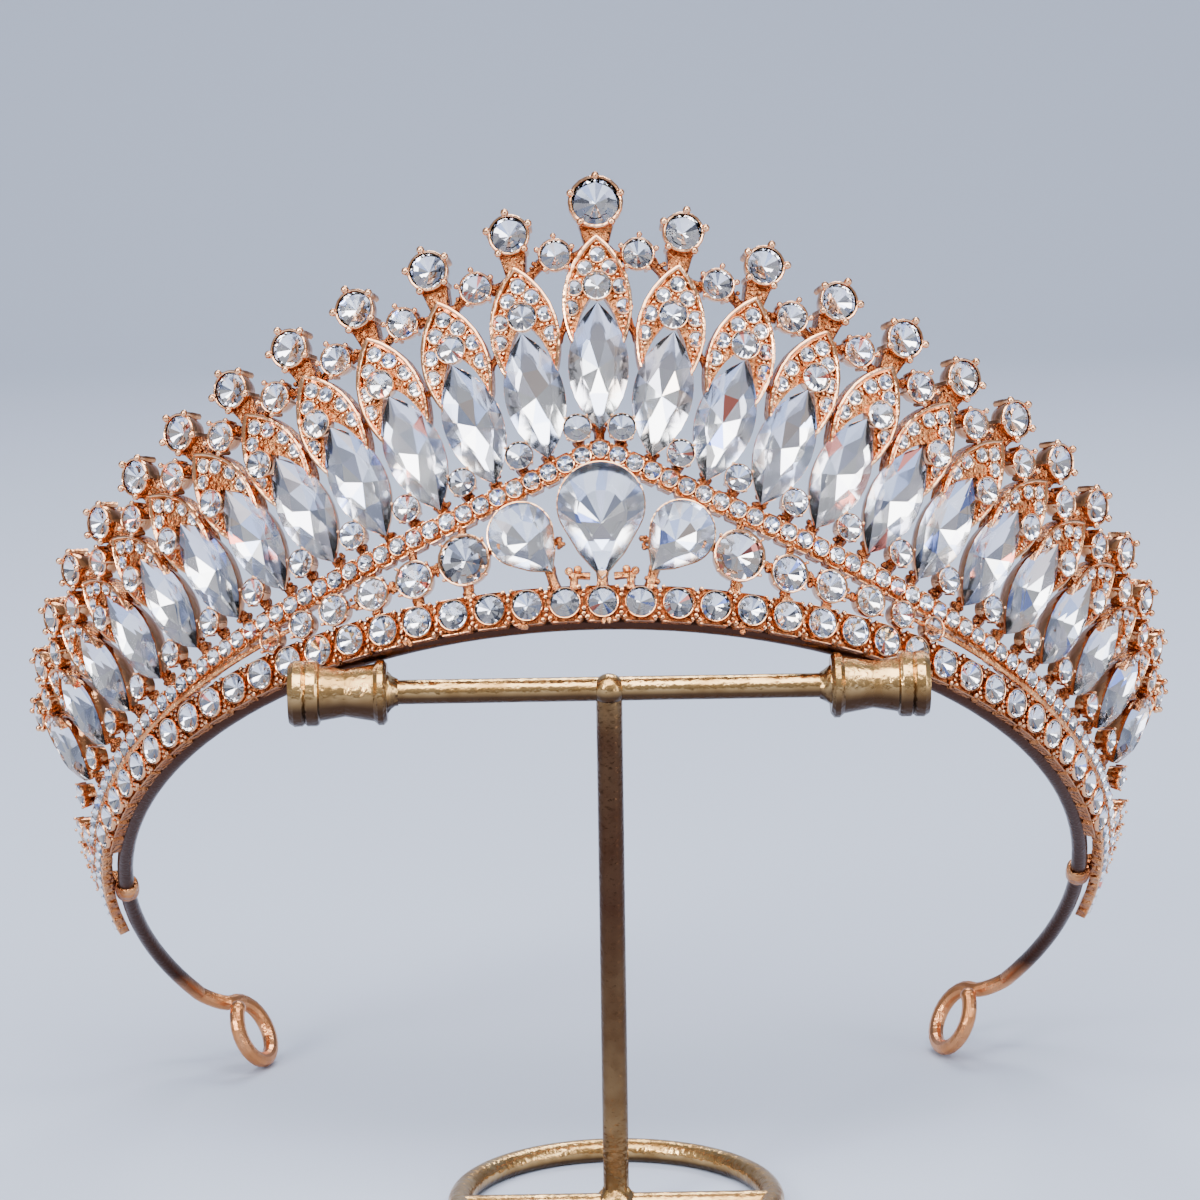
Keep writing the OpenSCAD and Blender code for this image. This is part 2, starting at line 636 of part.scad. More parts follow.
navette(-12);  // navette_1
navette(-11);  // navette_2
navette(-10);  // navette_3
navette(-9);  // navette_4
navette(-8);  // navette_5
navette(-7);  // navette_6
navette(-6);  // navette_7
navette(-5);  // navette_8
navette(-4);  // navette_9
navette(-3);  // navette_10
navette(-2);  // navette_11
navette(-1);  // navette_12
navette(0);  // navette_13
navette(1);  // navette_14
navette(2);  // navette_15
navette(3);  // navette_16
navette(4);  // navette_17
navette(5);  // navette_18
navette(6);  // navette_19
navette(7);  // navette_20
navette(8);  // navette_21
navette(9);  // navette_22
navette(10);  // navette_23
navette(11);  // navette_24
navette(12);  // navette_25
pear_middle();
pear_side(-1);  // pear_left
pear_side(1);  // pear_right
big_round(-1);  // round_left
big_round(1);  // round_right
gallery_stones();
tip_stones();
link_stones();
leaf_stones();
foot_stones();
band_stones();
casting();
headband();
stand();
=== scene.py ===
"""Looks of a gilt bridal crown set with clear cut stones, on its plain brass stand.

Shapes are worked out in millimetres and put into the meshes in metres. A place on the crown's
wall is an angle about the hoop's axis in degrees, a height up the wall's slope, a turn in degrees
and a distance outward from the wall. Units are numbered from 0 at the middle, minus to the left
and plus to the right. A shape is its points and a list of face blocks, each an array of corner
numbers with a material number.
"""

import bpy
import numpy as np
from mathutils import Matrix


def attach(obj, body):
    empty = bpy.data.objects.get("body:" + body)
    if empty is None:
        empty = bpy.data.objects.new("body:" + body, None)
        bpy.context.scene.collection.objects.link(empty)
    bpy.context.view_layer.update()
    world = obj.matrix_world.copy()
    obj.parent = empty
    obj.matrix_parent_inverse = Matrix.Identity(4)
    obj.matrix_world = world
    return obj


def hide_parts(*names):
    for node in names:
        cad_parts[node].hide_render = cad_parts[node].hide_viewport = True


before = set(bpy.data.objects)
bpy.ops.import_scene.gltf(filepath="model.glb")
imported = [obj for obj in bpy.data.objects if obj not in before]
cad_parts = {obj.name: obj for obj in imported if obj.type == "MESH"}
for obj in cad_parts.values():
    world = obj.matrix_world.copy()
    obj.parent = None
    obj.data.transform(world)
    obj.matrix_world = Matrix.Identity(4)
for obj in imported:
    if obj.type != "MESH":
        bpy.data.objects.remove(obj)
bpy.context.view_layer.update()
MM = 0.001

# Crown wall
BAND_R = 63.35
TILT = np.radians(43.8)
FLARE = np.radians(23.7)
CROWN_Y = 42.65
CROWN_Z = 29.63
# Band, its ends and the chevron row
BAND_SIDE = 20
BAND_PITCH = 4.3
BAND_D = 3.25
BAND_HALF = 1.95
BAND_THICK = 1.9
END_D = 1.9
END_PITCH = 2.2
END_HALF = 1.25
END_THICK = 1.3
BAND_END = 100.5
CHEVRON_BASE = 1.48
CHEVRON_RISE = 16.43
CHEVRON_FALL = 26.36
CHEVRON_D = 1.95
CHEVRON_PITCH = 2.15
CHEVRON_LOW = 1.4
CHEVRON_HIGH = 1.25
CHEVRON_END = 93.0
# Units of navette, leaf and tip
SIDE_UNITS = 12
LEAF_SIDE = 9
RAY_STEP = 5.74
RAY_GROWTH = 0.00419
NAVETTE_W = 6.95
NAVETTE_L = 15
NAVETTE_LEAN = 18.5
SIDE_SHRINK = 0.0000663
UNIT_RISE = 9.44
TIP_RISE = 19.33
LEAF_RISE = 9.31
LINK_RISE = 14.93
NECK_RISE = 13.8
FOOT_DROP = 5.6
LEAF_OUT = 0.5
FOOT_OUT = 0.3
# Diameters of the rounds at the middle
TOP_D = 5.35
TIP_D = 4.1
LINK_D = 3.4
LEAF_D = 3.2
FOOT_D = 3.12
# Gallery rounds on each side: angle, height up the wall, diameter
GALLERY = np.array([
    [13.8, 6.1, 5.6], [19.15, 4.9, 4.0], [23.8, 4.45, 3.5], [28.4, 3.95, 3.3], [32.4, 3.6, 2.8],
    [36.5, 3.3, 2.5]])
# Small end cups past the last navette: angle, height up the wall, diameter
END_CUPS = np.array([
    [84.2, 4.0, 2.8], [88.4, 3.7, 2.6], [92.3, 3.4, 2.3], [86.4, 6.6, 2.8], [90.5, 6.1, 2.4]])
# Pears: angle, height up the wall, lean, width, length
PEAR_MIDDLE = (0, 9.35, 0, 9.9, 13.5)
PEAR_SIDE = (7.45, 7.4, 36, 7.4, 9.4)
# Cut of the stones, as parts of their width
ROUND_TABLE = 0.52
ROUND_CROWN = 0.12
ROUND_DEEP = 0.25
PEAR_CROWN = 0.15
PEAR_DEEP = 0.25
# Navettes: table as part of the width, crown and depth in millimetres
NAVETTE_CUT = (0.62, 1.0, 1.75)
# Headband wire and the tabs that hold it
WIRE_HOOP_R = 60.1
WIRE_H = -0.52
TAB_ANGLE = 89.0
# Stand
STAND_X = 0.6
BAR_Z = 62.8
SPOOL_IN = 25.3

units = np.arange(-SIDE_UNITS, SIDE_UNITS + 1)
between = np.arange(-SIDE_UNITS + 0.5, SIDE_UNITS)
feet = np.arange(-SIDE_UNITS - 0.5, SIDE_UNITS + 1)
leaf_units = np.arange(-LEAF_SIDE, LEAF_SIDE + 1)
random = np.random.default_rng(7)


# Places on the wall
def wall_r(s):
    """Radius of the wall at a height: the band's radius and the height times the sine of the flare."""
    return BAND_R + s * np.sin(FLARE)


def ray_angle(k):
    """Angle of unit k: even steps that widen with the cube of k."""
    return RAY_STEP * k + RAY_GROWTH * k ** 3


def chevron_at(phi):
    """Height of the chevron row: a base and a rise that falls exponentially with the angle."""
    return CHEVRON_BASE + CHEVRON_RISE * np.exp(-np.abs(phi) / CHEVRON_FALL)


def unit_at(k):
    """Height of a navette's centre: a fixed rise above the chevron row."""
    return chevron_at(ray_angle(k)) + UNIT_RISE


def unit_lean(k):
    """Lean of unit k in degrees: a hyperbolic tangent, quick beside the middle, and an even step a unit."""
    return 10.99 * np.tanh(k / 2.81) + 2.14 * k


def navette_turn(k):
    """Lean of navette k in degrees: a limit times the hyperbolic tangent of half of k."""
    return NAVETTE_LEAN * np.tanh(k / 2)


def side_scale(k):
    """Share of the middle unit's size, which falls with the square of the angle."""
    return 1 - SIDE_SHRINK * ray_angle(k) ** 2


def shrunk(size, k, share):
    """A size of which only a share shrinks with the units."""
    return size * (1 - share + share * side_scale(k))


def tip_size(k):
    """Diameter of a tip stone, the middle one being larger."""
    return np.where(k == 0, TOP_D, shrunk(TIP_D, k, 0.5))


def link_size(k):
    """Diameter of the round between two tips."""
    return shrunk(LINK_D, k, 0.4)


def leaf_size(k):
    """Diameter of a leaf's large round."""
    return shrunk(LEAF_D, k, 0.5)


def foot_size(k):
    """Diameter of the round between two navettes' feet."""
    return shrunk(FOOT_D, k, 0.3)


def navette_w(k):
    """Width of navette k, less with the square of k."""
    return NAVETTE_W * (1 - 0.0011 * k * k)


def navette_l(k):
    """Length of navette k, less with the fourth power of k."""
    return NAVETTE_L * (1 - 0.15 * (k / SIDE_UNITS) ** 4)


def leaf_shift(k):
    """Sideways place of a leaf's large round: it moves outward from unit 2 to 5 and back from 7 to 16."""
    return np.sign(k) * 1.7 * np.clip((abs(k) - 2) / 3, 0, 1) * np.clip((16 - abs(k)) / 9, 0, 1)


def leaf_up(k):
    """Height of a leaf's large round over the navette's centre, which drops by 1 mm from unit 3 to 6."""
    return LEAF_RISE * side_scale(k) - np.clip((abs(k) - 3) / 3, 0, 1)


def wall_xyz(phi, s, out):
    """The point at an angle and height on a cone, moved out along its normal, then tilted with the hoop."""
    phi = np.radians(phi)
    radius = wall_r(s) + out * np.cos(FLARE)
    height = s * np.cos(FLARE) - out * np.sin(FLARE)
    front = radius * np.cos(phi)
    return np.stack(np.broadcast_arrays(
        radius * np.sin(phi),
        CROWN_Y - front * np.cos(TILT) + height * np.sin(TILT),
        CROWN_Z + front * np.sin(TILT) + height * np.cos(TILT)), axis=-1)


def on_wall(place, local):
    """Bends local points onto the cone: x and y are turned by the place's lean, y adds to its height and
    x over the radius there adds to its angle. The result has a row for each place."""
    place = np.atleast_2d(np.array(place, float))
    phi, s, turn = place[:, 0:1], place[:, 1:2], np.radians(place[:, 2:3])
    a, b, out = local.T
    along = a * np.cos(turn) + b * np.sin(turn)
    height = s - a * np.sin(turn) + b * np.cos(turn)
    return wall_xyz(phi + np.degrees(along / wall_r(height)), height, out)


def frames(place, out=0.0):
    """Rigid frames on the wall, with columns for the right, up and outward directions and the origin."""
    place = np.atleast_2d(np.array(place, float))
    phi, s, turn = place[:, 0], place[:, 1], np.radians(place[:, 2])
    origin = wall_xyz(phi, s, np.zeros(len(phi)) + out)
    flat = wall_xyz(phi, s, np.zeros(len(phi)))
    normal = wall_xyz(phi, s, np.ones(len(phi))) - flat
    slope = wall_xyz(phi, s + 1, 0.0) - flat
    right = np.cross(slope, normal)
    c, d = np.cos(turn)[:, None], np.sin(turn)[:, None]
    return np.stack([right * c - slope * d, right * d + slope * c, normal, origin], axis=2)


def in_unit(k, side, up):
    """Places in the leaning frame of unit k: sideways and up from its navette's centre."""
    k, side, up = np.broadcast_arrays(np.atleast_1d(np.array(k, float)), side, up)
    lean = np.radians(unit_lean(k))
    s = unit_at(k) - side * np.sin(lean) + up * np.cos(lean)
    along = side * np.cos(lean) + up * np.sin(lean)
    return np.stack([ray_angle(k) + np.degrees(along / wall_r(s)), s, np.degrees(lean)], axis=-1)


def in_fan(k, drop):
    """Places straight down the fan of navettes from half-way between two units."""
    turn = np.radians(navette_turn(k))
    s = unit_at(k) - drop * np.cos(turn)
    along = drop * np.sin(turn) + np.sign(k) * 0.6 * np.exp(0.5 - np.abs(k))
    return np.stack([ray_angle(k) - np.degrees(along / wall_r(s)), s, np.degrees(turn)], axis=-1)


def navette_places(k):
    """Angle, height and lean of the navettes."""
    k = np.atleast_1d(np.array(k, float))
    return np.stack([ray_angle(k), unit_at(k), navette_turn(k)], axis=-1)


def both_sides(rows):
    """Places on the right, then the same mirrored to the left."""
    rows = np.array(rows, float)
    return np.concatenate([rows, rows * [-1, 1, -1]])


def gallery_places(rows):
    """Upright places on both sides from rows of angle, height and diameter."""
    return both_sides(rows * [1, 1, 0])


tip_places = in_unit(units, 0, TIP_RISE * side_scale(units))
link_places = in_unit(between, 0, LINK_RISE * side_scale(between))
leaf_places = in_unit(leaf_units, leaf_shift(leaf_units), leaf_up(leaf_units))
foot_places = in_fan(feet, FOOT_DROP)


# Shapes
def weld(points, blocks, near=0.002):
    """Merges points closer than near, turns quads with a merged side into triangles, and drops pairs of
    faces that lie back to back."""
    keys = np.round(points / near).astype(np.int64)
    _, first, same = np.unique(keys, axis=0, return_index=True, return_inverse=True)
    same = same.reshape(-1)
    tidy = []
    for corners, material in blocks:
        corners = same[corners]
        twice = corners == np.roll(corners, -1, axis=1)
        tidy.append((corners[twice.sum(1) == 0], material))
        if corners.shape[1] == 4:
            once = twice.sum(1) == 1
            keep = ~np.roll(twice[once], 1, axis=1)
            tidy.append((corners[once][keep].reshape(-1, 3), material))
    clean = []
    for corners, material in tidy:
        if len(corners):
            _, back, count = np.unique(
                np.sort(corners, axis=1), axis=0, return_inverse=True, return_counts=True)
            clean.append((corners[count[back.reshape(-1)] == 1], material))
    return points[first], clean


def outward(points, blocks):
    """Turns every face over when the closed shape's signed volume is negative."""
    volume = 0.0
    for corners, _ in blocks:
        for i in range(1, corners.shape[1] - 1):
            a, b, c = points[corners[:, 0]], points[corners[:, i]], points[corners[:, i + 1]]
            volume += np.einsum("ij,ij->", a, np.cross(b, c))
    return (points, blocks) if volume > 0 else (points, [(c[:, ::-1], m) for c, m in blocks])


def join(shapes):
    """One shape from several, with one block of faces for each number of corners and material."""
    points, parts, count = [], {}, 0
    for p, faces in shapes:
        points.append(p)
        for corners, material in faces:
            parts.setdefault((corners.shape[1], material), []).append(corners + count)
        count += len(p)
    return np.concatenate(points), [(np.concatenate(rows), key[1]) for key, rows in parts.items()]


def grid(points, close_v=False):
    """Quads over a grid of points with rows u and columns v, joined round along v where it is closed."""
    nu, nv = points.shape[:2]
    number = np.arange(nu * nv).reshape(nu, nv)
    if close_v:
        number = np.concatenate([number, number[:, :1]], axis=1)
    quads = np.stack([number[:-1, :-1], number[1:, :-1], number[1:, 1:], number[:-1, 1:]], axis=-1)
    return points.reshape(-1, 3), [(quads.reshape(-1, 4), 0)]


def closed(points):
    """A closed shape from rings of points whose first and last ring are single points."""
    return outward(*weld(*grid(points, close_v=True), near=0.0005))


def circle(count, half_step=0.0):
    """Angles of count even steps round a circle, in radians."""
    return (np.arange(count) + half_step) * 2 * np.pi / count


def lathe(profile, sides):
    """Turns a profile of radius and height about the z axis. It starts and ends on the axis."""
    turn = circle(sides)
    r, z = np.array(profile, float).T
    return closed(np.stack(
        [np.outer(r, np.cos(turn)), np.outer(r, np.sin(turn)), np.outer(z, np.ones(sides))], axis=-1))


def around(outline, profile):
    """Carries a profile round an outline: each profile row scales the outline about its centre, offsets
    it outward and sets its height. It starts and ends with scale 0."""
    scale, offset, height = np.array(profile, float).T[:, :, None, None]
    ahead = np.roll(outline, -1, axis=0) - np.roll(outline, 1, axis=0)
    normal = np.stack([ahead[:, 1], -ahead[:, 0]], axis=1)
    normal /= np.linalg.norm(normal, axis=1)[:, None]
    flat = scale * outline + offset * normal
    return closed(np.concatenate([flat, np.broadcast_to(height, flat.shape[:2] + (1,))], axis=2))


def tube(path, radii, side, sides=6):
    """Circles of the given radii about the points of a path. The path never runs along side."""
    path, radii = np.array(path, float), np.array(radii, float)
    along = np.gradient(path, axis=0)
    first = np.cross(along, side)
    first /= np.linalg.norm(first, axis=1)[:, None]
    second = np.cross(along, first)
    second /= np.linalg.norm(second, axis=1)[:, None]
    turn = circle(sides)[:, None]
    ring = np.cos(turn) * first[:, None] + np.sin(turn) * second[:, None]
    return closed(path[:, None] + radii[:, None, None] * ring)


def slab(outline, low, high, bevel):
    """A flat plate with an outline, from height low to high, whose front edge is rounded by the bevel."""
    outline = np.array(outline, float)
    middle = outline.mean(axis=0)
    points, blocks = around(outline - middle, [
        [0, 0, low], [1, -bevel * 0.5, low], [1, 0, low + bevel * 0.5], [1, 0, high - bevel],
        [1, -bevel * 0.3, high - bevel * 0.3], [1, -bevel, high], [0, 0, high]])
    return points + [*middle, 0], blocks


def copies(placed, blocks):
    """One shape from a stack of placed copies of the same points."""
    start = np.arange(len(placed))[:, None, None] * placed.shape[1]
    return placed.reshape(-1, 3), [((start + c).reshape(-1, c.shape[1]), m) for c, m in blocks]


def stamped(shape, place, sizes=1.0, out=0.0):
    """Rigid copies of a shape at places on the wall, each scaled by its size."""
    spots = frames(place, out)
    scale = np.broadcast_to(np.array(sizes, float), (len(spots),))
    placed = np.einsum("nij,mj->nmi", spots[:, :, :3], shape[0]) * scale[:, None, None]
    return copies(placed + spots[:, None, :, 3], shape[1])


def wrapped(shape, place):
    """Copies of a shape bent onto the wall at places."""
    return copies(on_wall(place, shape[0]), shape[1])


def ring_of(shape, turns):
    """Copies of a shape turned about the z axis, by angles in degrees."""
    made = []
    for turn in np.radians(turns):
        c, d = np.cos(turn), np.sin(turn)
        made.append((shape[0] @ np.array([[c, d, 0], [-d, c, 0], [0, 0, 1]]), shape[1]))
    return join(made)


# Stones. Material 0 is the clear body, material 1 the silvered back
def round_cut(count=8, deep=ROUND_DEEP):
    """A brilliant of diameter 1: a table of count corners, a star and two girdle facets for each of them,
    a thin girdle of twice as many corners and as many back facets, which meet in a point."""
    turn = circle(2 * count)
    ring = np.stack([np.cos(turn), np.sin(turn), np.zeros(2 * count)], axis=1) / 2
    table = ring[::2] * ROUND_TABLE + [0, 0, ROUND_CROWN]
    points = np.concatenate([table, ring, ring + [0, 0, -0.02], [[0, 0, -deep]]])
    i, g = np.arange(count), np.arange(2 * count)
    top, low, point = count, 3 * count, 5 * count
    after, before = (2 * i + 1) % (2 * count), (2 * i - 1) % (2 * count)
    following = (g + 1) % (2 * count)
    return points, [
        (i[None], 0),
        (np.stack([i, top + after, (i + 1) % count], axis=1), 0),
        (np.stack([i, top + before, top + 2 * i], axis=1), 0),
        (np.stack([i, top + 2 * i, top + after], axis=1), 0),
        (np.stack([top + g, low + g, low + following, top + following], axis=1), 0),
        (np.stack([low + g, np.full(2 * count, point), low + following], axis=1), 1)]


def small_cut(count=8, deep=ROUND_DEEP):
    """A small stone of diameter 1 with one row of crown facets and one of back facets."""
    turn = circle(count)
    ring = np.stack([np.cos(turn), np.sin(turn), np.zeros(count)], axis=1) / 2
    points = np.concatenate([ring * 0.55 + [0, 0, 0.17], ring, [[0, 0, -deep]]])
    i = np.arange(count)
    following = (i + 1) % count
    return points, [
        (i[None], 0),
        (np.stack([i, count + i, count + following, following], axis=1), 0),
        (np.stack([count + i, np.full(count, 2 * count), count + following], axis=1), 1)]


def fancy_cut(outline, table, crown, deep, belt=0.55):
    """A stone of any outline with an even count of corners: a table of every second corner, stars and
    girdle facets, and a back of an upper row of facets down to a belt and a lower row to the point."""
    n = len(outline)
    half = n // 2
    ring = np.concatenate([outline, np.zeros((n, 1))], axis=1)
    inner = np.concatenate([outline[::2] * table, np.full((half, 1), crown)], axis=1)
    belt_ring = np.concatenate([outline[1::2] * belt, np.full((half, 1), -deep * (1.12 - belt))], axis=1)
    points = np.concatenate([inner, ring, belt_ring, [[0, 0, -deep]]])
    i = np.arange(half)
    corner, following = half + 2 * i, half + (2 * i + 2) % n
    after, before = half + (2 * i + 1) % n, half + (2 * i - 1) % n
    low, low_following = half + n + i, half + n + (i + 1) % half
    point = np.full(half, 2 * half + n)
    return outward(points, [
        (i[None], 0),
        (np.stack([i, after, (i + 1) % half], axis=1), 0),
        (np.stack([i, before, corner], axis=1), 0),
        (np.stack([i, corner, after], axis=1), 0),
        (np.stack([after, corner, low], axis=1), 1),
        (np.stack([after, low, following], axis=1), 1),
        (np.stack([following, low, low_following], axis=1), 1),
        (np.stack([low, point, low_following], axis=1), 1)])


def navette_outline(w, l, count=16):
    """Two equal arcs that meet in points at the top and bottom, counter-clockwise from the bottom."""
    r = (l * l / 4 + w * w / 4) / w
    y = np.linspace(-l / 2, l / 2, count // 2 + 1)[:-1]
    x = np.sqrt(np.maximum(r * r - y * y, 0)) - (r - w / 2)
    return np.concatenate([np.stack([x, y], axis=1), np.stack([-x, -y], axis=1)])


def pear_outline(w, l, count=18):
    """A round top whose sides run straight to a point at the bottom, counter-clockwise from the point."""
    first = np.arcsin(w / 2 / (l - w / 2)) - np.radians(4)
    turn = np.linspace(-first, np.pi + first, count - 3)
    arc = np.stack([w / 2 * np.cos(turn), l / 2 - w / 2 + w / 2 * np.sin(turn)], axis=1)
    point = np.array([0, -l / 2])
    bulge = [0.04 * w, 0]
    return np.concatenate([[point], [(point + arc[0]) / 2 + bulge], arc, [(point + arc[-1]) / 2 - bulge]])


ROUND = round_cut()
FLAT_ROUND = round_cut(deep=0.2)
SMALL = small_cut()
FLAT_SMALL = small_cut(deep=0.16)


# Settings
def cup(d, wall=0.35, depth=2.0, foot=0.8, sides=20, rim=0.24):
    """A round cup: back, tapered wall, rolled rim and a dished seat under the stone."""
    r = d / 2
    o = r + wall
    return lathe([
        [0, -depth], [o * foot, -depth], [o * (foot * 0.4 + 0.6), -depth * 0.6], [o, -depth * 0.2], [o, 0.02],
        [o - wall * 0.1, rim * 0.7], [o - wall * 0.4, rim], [r + wall * 0.25, rim * 0.8], [r + 0.04, 0.04],
        [r + 0.03, -0.08], [r * 0.5, -ROUND_DEEP * r - 0.15], [0, -ROUND_DEEP * d - 0.12]], sides)


def bead(radius, sides=6, rings=5):
    """A ball of few faces: half a circle turned about the z axis."""
    turn = np.linspace(0, np.pi, rings)
    return lathe(np.stack([radius * np.sin(turn), -radius * np.cos(turn)], axis=1), sides)


def prong(radius, low, high, ball, thick=0.24, flare=0.35):
    """An arm that climbs a cup's wall, leans out over its rim and ends in a ball."""
    heights = np.array([low, low, (low + high) / 2, high - ball * 2.2, high - ball, high - ball])
    reach = np.array([-0.1, -0.1, 0.0, flare * 0.35, flare * 0.8, flare * 0.8]) + radius
    arm = np.array([0, thick, thick, thick * 0.85, thick * 0.8, 0])
    stem = tube(np.stack([reach, np.zeros(6), heights + np.arange(6) * 1e-4], axis=1), arm, (0, 1, 0))
    globe = bead(ball, 8, 6)
    return join([stem, (globe[0] + [radius + flare, 0, high - ball * 0.3], globe[1])])


def strewn(places, count, spread, low, high, out):
    """Grains round each place: count of them within the spread, with radii from low to high."""
    places = np.repeat(np.atleast_2d(np.array(places, float)), count, axis=0)
    turn = random.random(len(places)) * 2 * np.pi
    reach = spread * np.sqrt(random.random(len(places)))
    places[:, 1] += reach * np.sin(turn)
    places[:, 0] += np.degrees(reach * np.cos(turn) / wall_r(places[:, 1]))
    return stamped(bead(1.0), places, low + (high - low) * random.random(len(places)), out)


def wall_rib(start, end, radius, deep=-1.9, waist=0.7, sides=7):
    """A lumpy strut between two places on the wall, with a waist at its middle, behind the stones."""
    t = np.array([-1e-4, 0, 0.12, 0.35, 0.65, 0.88, 1, 1 + 1e-4])
    phi, s = (a + (b - a) * t for a, b in zip(start, end))
    path = wall_xyz(phi, s, np.full(8, deep))
    outer = wall_xyz(phi, s, np.full(8, deep + 1.0)) - path
    return tube(path, radius * np.array([0, 0.9, 1.0, waist, waist, 1.0, 0.9, 0]), outer, sides)


# Rails with stones: a row of cells along a curve on the wall
def rail_curve(height, end):
    """Samples a curve on the wall: arc length from the middle, angle, height and slope."""
    phi = np.linspace(-end, end, 2401)
    s = height(phi)
    step = np.hypot(np.radians(np.diff(phi)) * wall_r((s[1:] + s[:-1]) / 2), np.diff(s))
    length = np.concatenate([[0], np.cumsum(step)])
    length -= np.interp(0, phi, length)
    slope = np.arctan2(np.gradient(s), np.radians(np.gradient(phi)) * wall_r(s))
    return length, phi, s, slope


def rail_places(curve, at):
    """Places on a rail at arc lengths, turned with its slope."""
    phi, s, slope = (np.interp(at, curve[0], column) for column in curve[1:])
    return np.stack([phi, s, -np.degrees(slope)], axis=-1)


def on_rail(curve, along, across, out):
    """Bends points onto a rail: along is the arc length, across the distance up from it, square to it."""
    phi, s, slope = (np.interp(along, curve[0], column) for column in curve[1:])
    height = s + across * np.cos(slope)
    return wall_xyz(phi - np.degrees(across * np.sin(slope) / wall_r(height)), height, out)


def rail_cells(curve, at, pitch, hole, low, high, back, rim, field, lip, sides=24):
    """A row of cells, one for each stone. Round the stone each cell runs from the bottom of its hole up to
    a rim, down to a sunk field, up to a lip along the rail's two edges only, down its side and to its
    back. Sides that two cells share are dropped, so that the field runs on from cell to cell. Rims and
    lips have material 0 and the rest material 1."""
    turn = circle(sides, 0.5)
    c, d = np.cos(turn), np.sin(turn)
    reach = 1 / np.maximum(np.abs(c), np.abs(d))
    edge_a, edge_b = c * reach * pitch / 2, d * reach
    on_edge = np.clip((np.abs(edge_b) - 0.8) / 0.15, 0, 1)
    edge_b = np.where(edge_b > 0, edge_b * high, edge_b * low)
    wall = hole + 0.12
    # Radius, share of the cell's edge in it, height, height on the lip and share of that
    rows = [
        (0.0, 0, -hole * 0.6 - 0.1, 0, 0), (hole, 0, -0.3, 0, 0), (hole, 0, rim, 0, 0),
        (hole + 0.08, 0, rim + 0.03, 0, 0), (wall, 0, rim - 0.05, 0, 0), (wall + 0.04, 0.05, field, 0, 0),
        (wall, 0.6, field, lip, 0), (wall, 0.8, field, lip, 1), (wall, 0.95, field, lip, 1),
        (0, 1, field, lip - 0.12, 1), (0, 1, back, 0, 0), (0, 0, back, 0, 0)]
    bright_rows = (1, 2, 3, 4, 7, 8)
    radius, mix, height, top, raised = np.array(rows).T[:, :, None]
    a = (1 - mix) * radius * c + mix * edge_a
    b = (1 - mix) * radius * d + mix * edge_b
    z = height + raised * on_edge * (top - height)
    made = []
    for x in at:
        points, blocks = grid(on_rail(curve, x + a, b, z), close_v=True)
        quads = blocks[0][0]
        bright = np.isin(quads[:, 0] // sides, bright_rows)
        made.append((points, [(quads[bright], 0), (quads[~bright], 1)]))
    return outward(*weld(*join(made)))


# Materials
def add(tree, kind, **values):
    """A node whose named inputs, or else whose settings, have these values."""
    node = tree.nodes.new(kind)
    for key, value in values.items():
        if key in node.inputs:
            node.inputs[key].default_value = value
        else:
            setattr(node, key, value)
    return node


def connect(tree, *wires):
    """Links an output to an input for each pair."""
    for start, end in wires:
        tree.links.new(start, end)


def make_grain_group():
    """Grain of cast metal: fine noise and smooth cells added into one height, with a patchy mask."""
    tree = bpy.data.node_groups.new("cast_grain", "ShaderNodeTree")
    for label, value in (("Grain", 2200.0), ("Patch", 260.0)):
        socket = tree.interface.new_socket(label, in_out="INPUT", socket_type="NodeSocketFloat")
        socket.default_value = value
    for label in ("Height", "Patch"):
        tree.interface.new_socket(label, in_out="OUTPUT", socket_type="NodeSocketFloat")
    inside = add(tree, "NodeGroupInput")
    outside = add(tree, "NodeGroupOutput")
    place = add(tree, "ShaderNodeTexCoord").outputs["Object"]
    fine = add(tree, "ShaderNodeTexNoise", Detail=3.0, Roughness=0.6)
    lumps = add(tree, "ShaderNodeTexVoronoi", feature="SMOOTH_F1")
    patch = add(tree, "ShaderNodeTexNoise", Detail=2.0)
    mixed = add(tree, "ShaderNodeMath", operation="ADD")
    for texture, scale in ((fine, "Grain"), (lumps, "Grain"), (patch, "Patch")):
        connect(tree, (place, texture.inputs["Vector"]), (inside.outputs[scale], texture.inputs["Scale"]))
    connect(tree, (fine.outputs["Fac"], mixed.inputs[0]), (lumps.outputs["Distance"], mixed.inputs[1]),
            (mixed.outputs[0], outside.inputs["Height"]), (patch.outputs["Fac"], outside.inputs["Patch"]))
    return tree


GRAIN = make_grain_group()


def new_material(name, values):
    """A material whose shader's own sockets have these values, with its node tree and its shader."""
    material = bpy.data.materials.new(name)
    material.use_nodes = True
    tree = material.node_tree
    shader = tree.nodes["Principled BSDF"]
    for socket, value in values.items():
        shader.inputs[socket].default_value = value
    return material, tree, shader


def mix_in(material, mask, colour):
    """Mixes another colour into a material's base colour by a mask."""
    tree = material.node_tree
    base = tree.nodes["Principled BSDF"].inputs["Base Color"]
    mixed = add(tree, "ShaderNodeMix", data_type="RGBA")
    mixed.inputs["B"].default_value = (*colour, 1)
    connect(tree, (base.links[0].from_socket, mixed.inputs["A"]), (mask, mixed.inputs["Factor"]),
            (mixed.outputs["Result"], base))


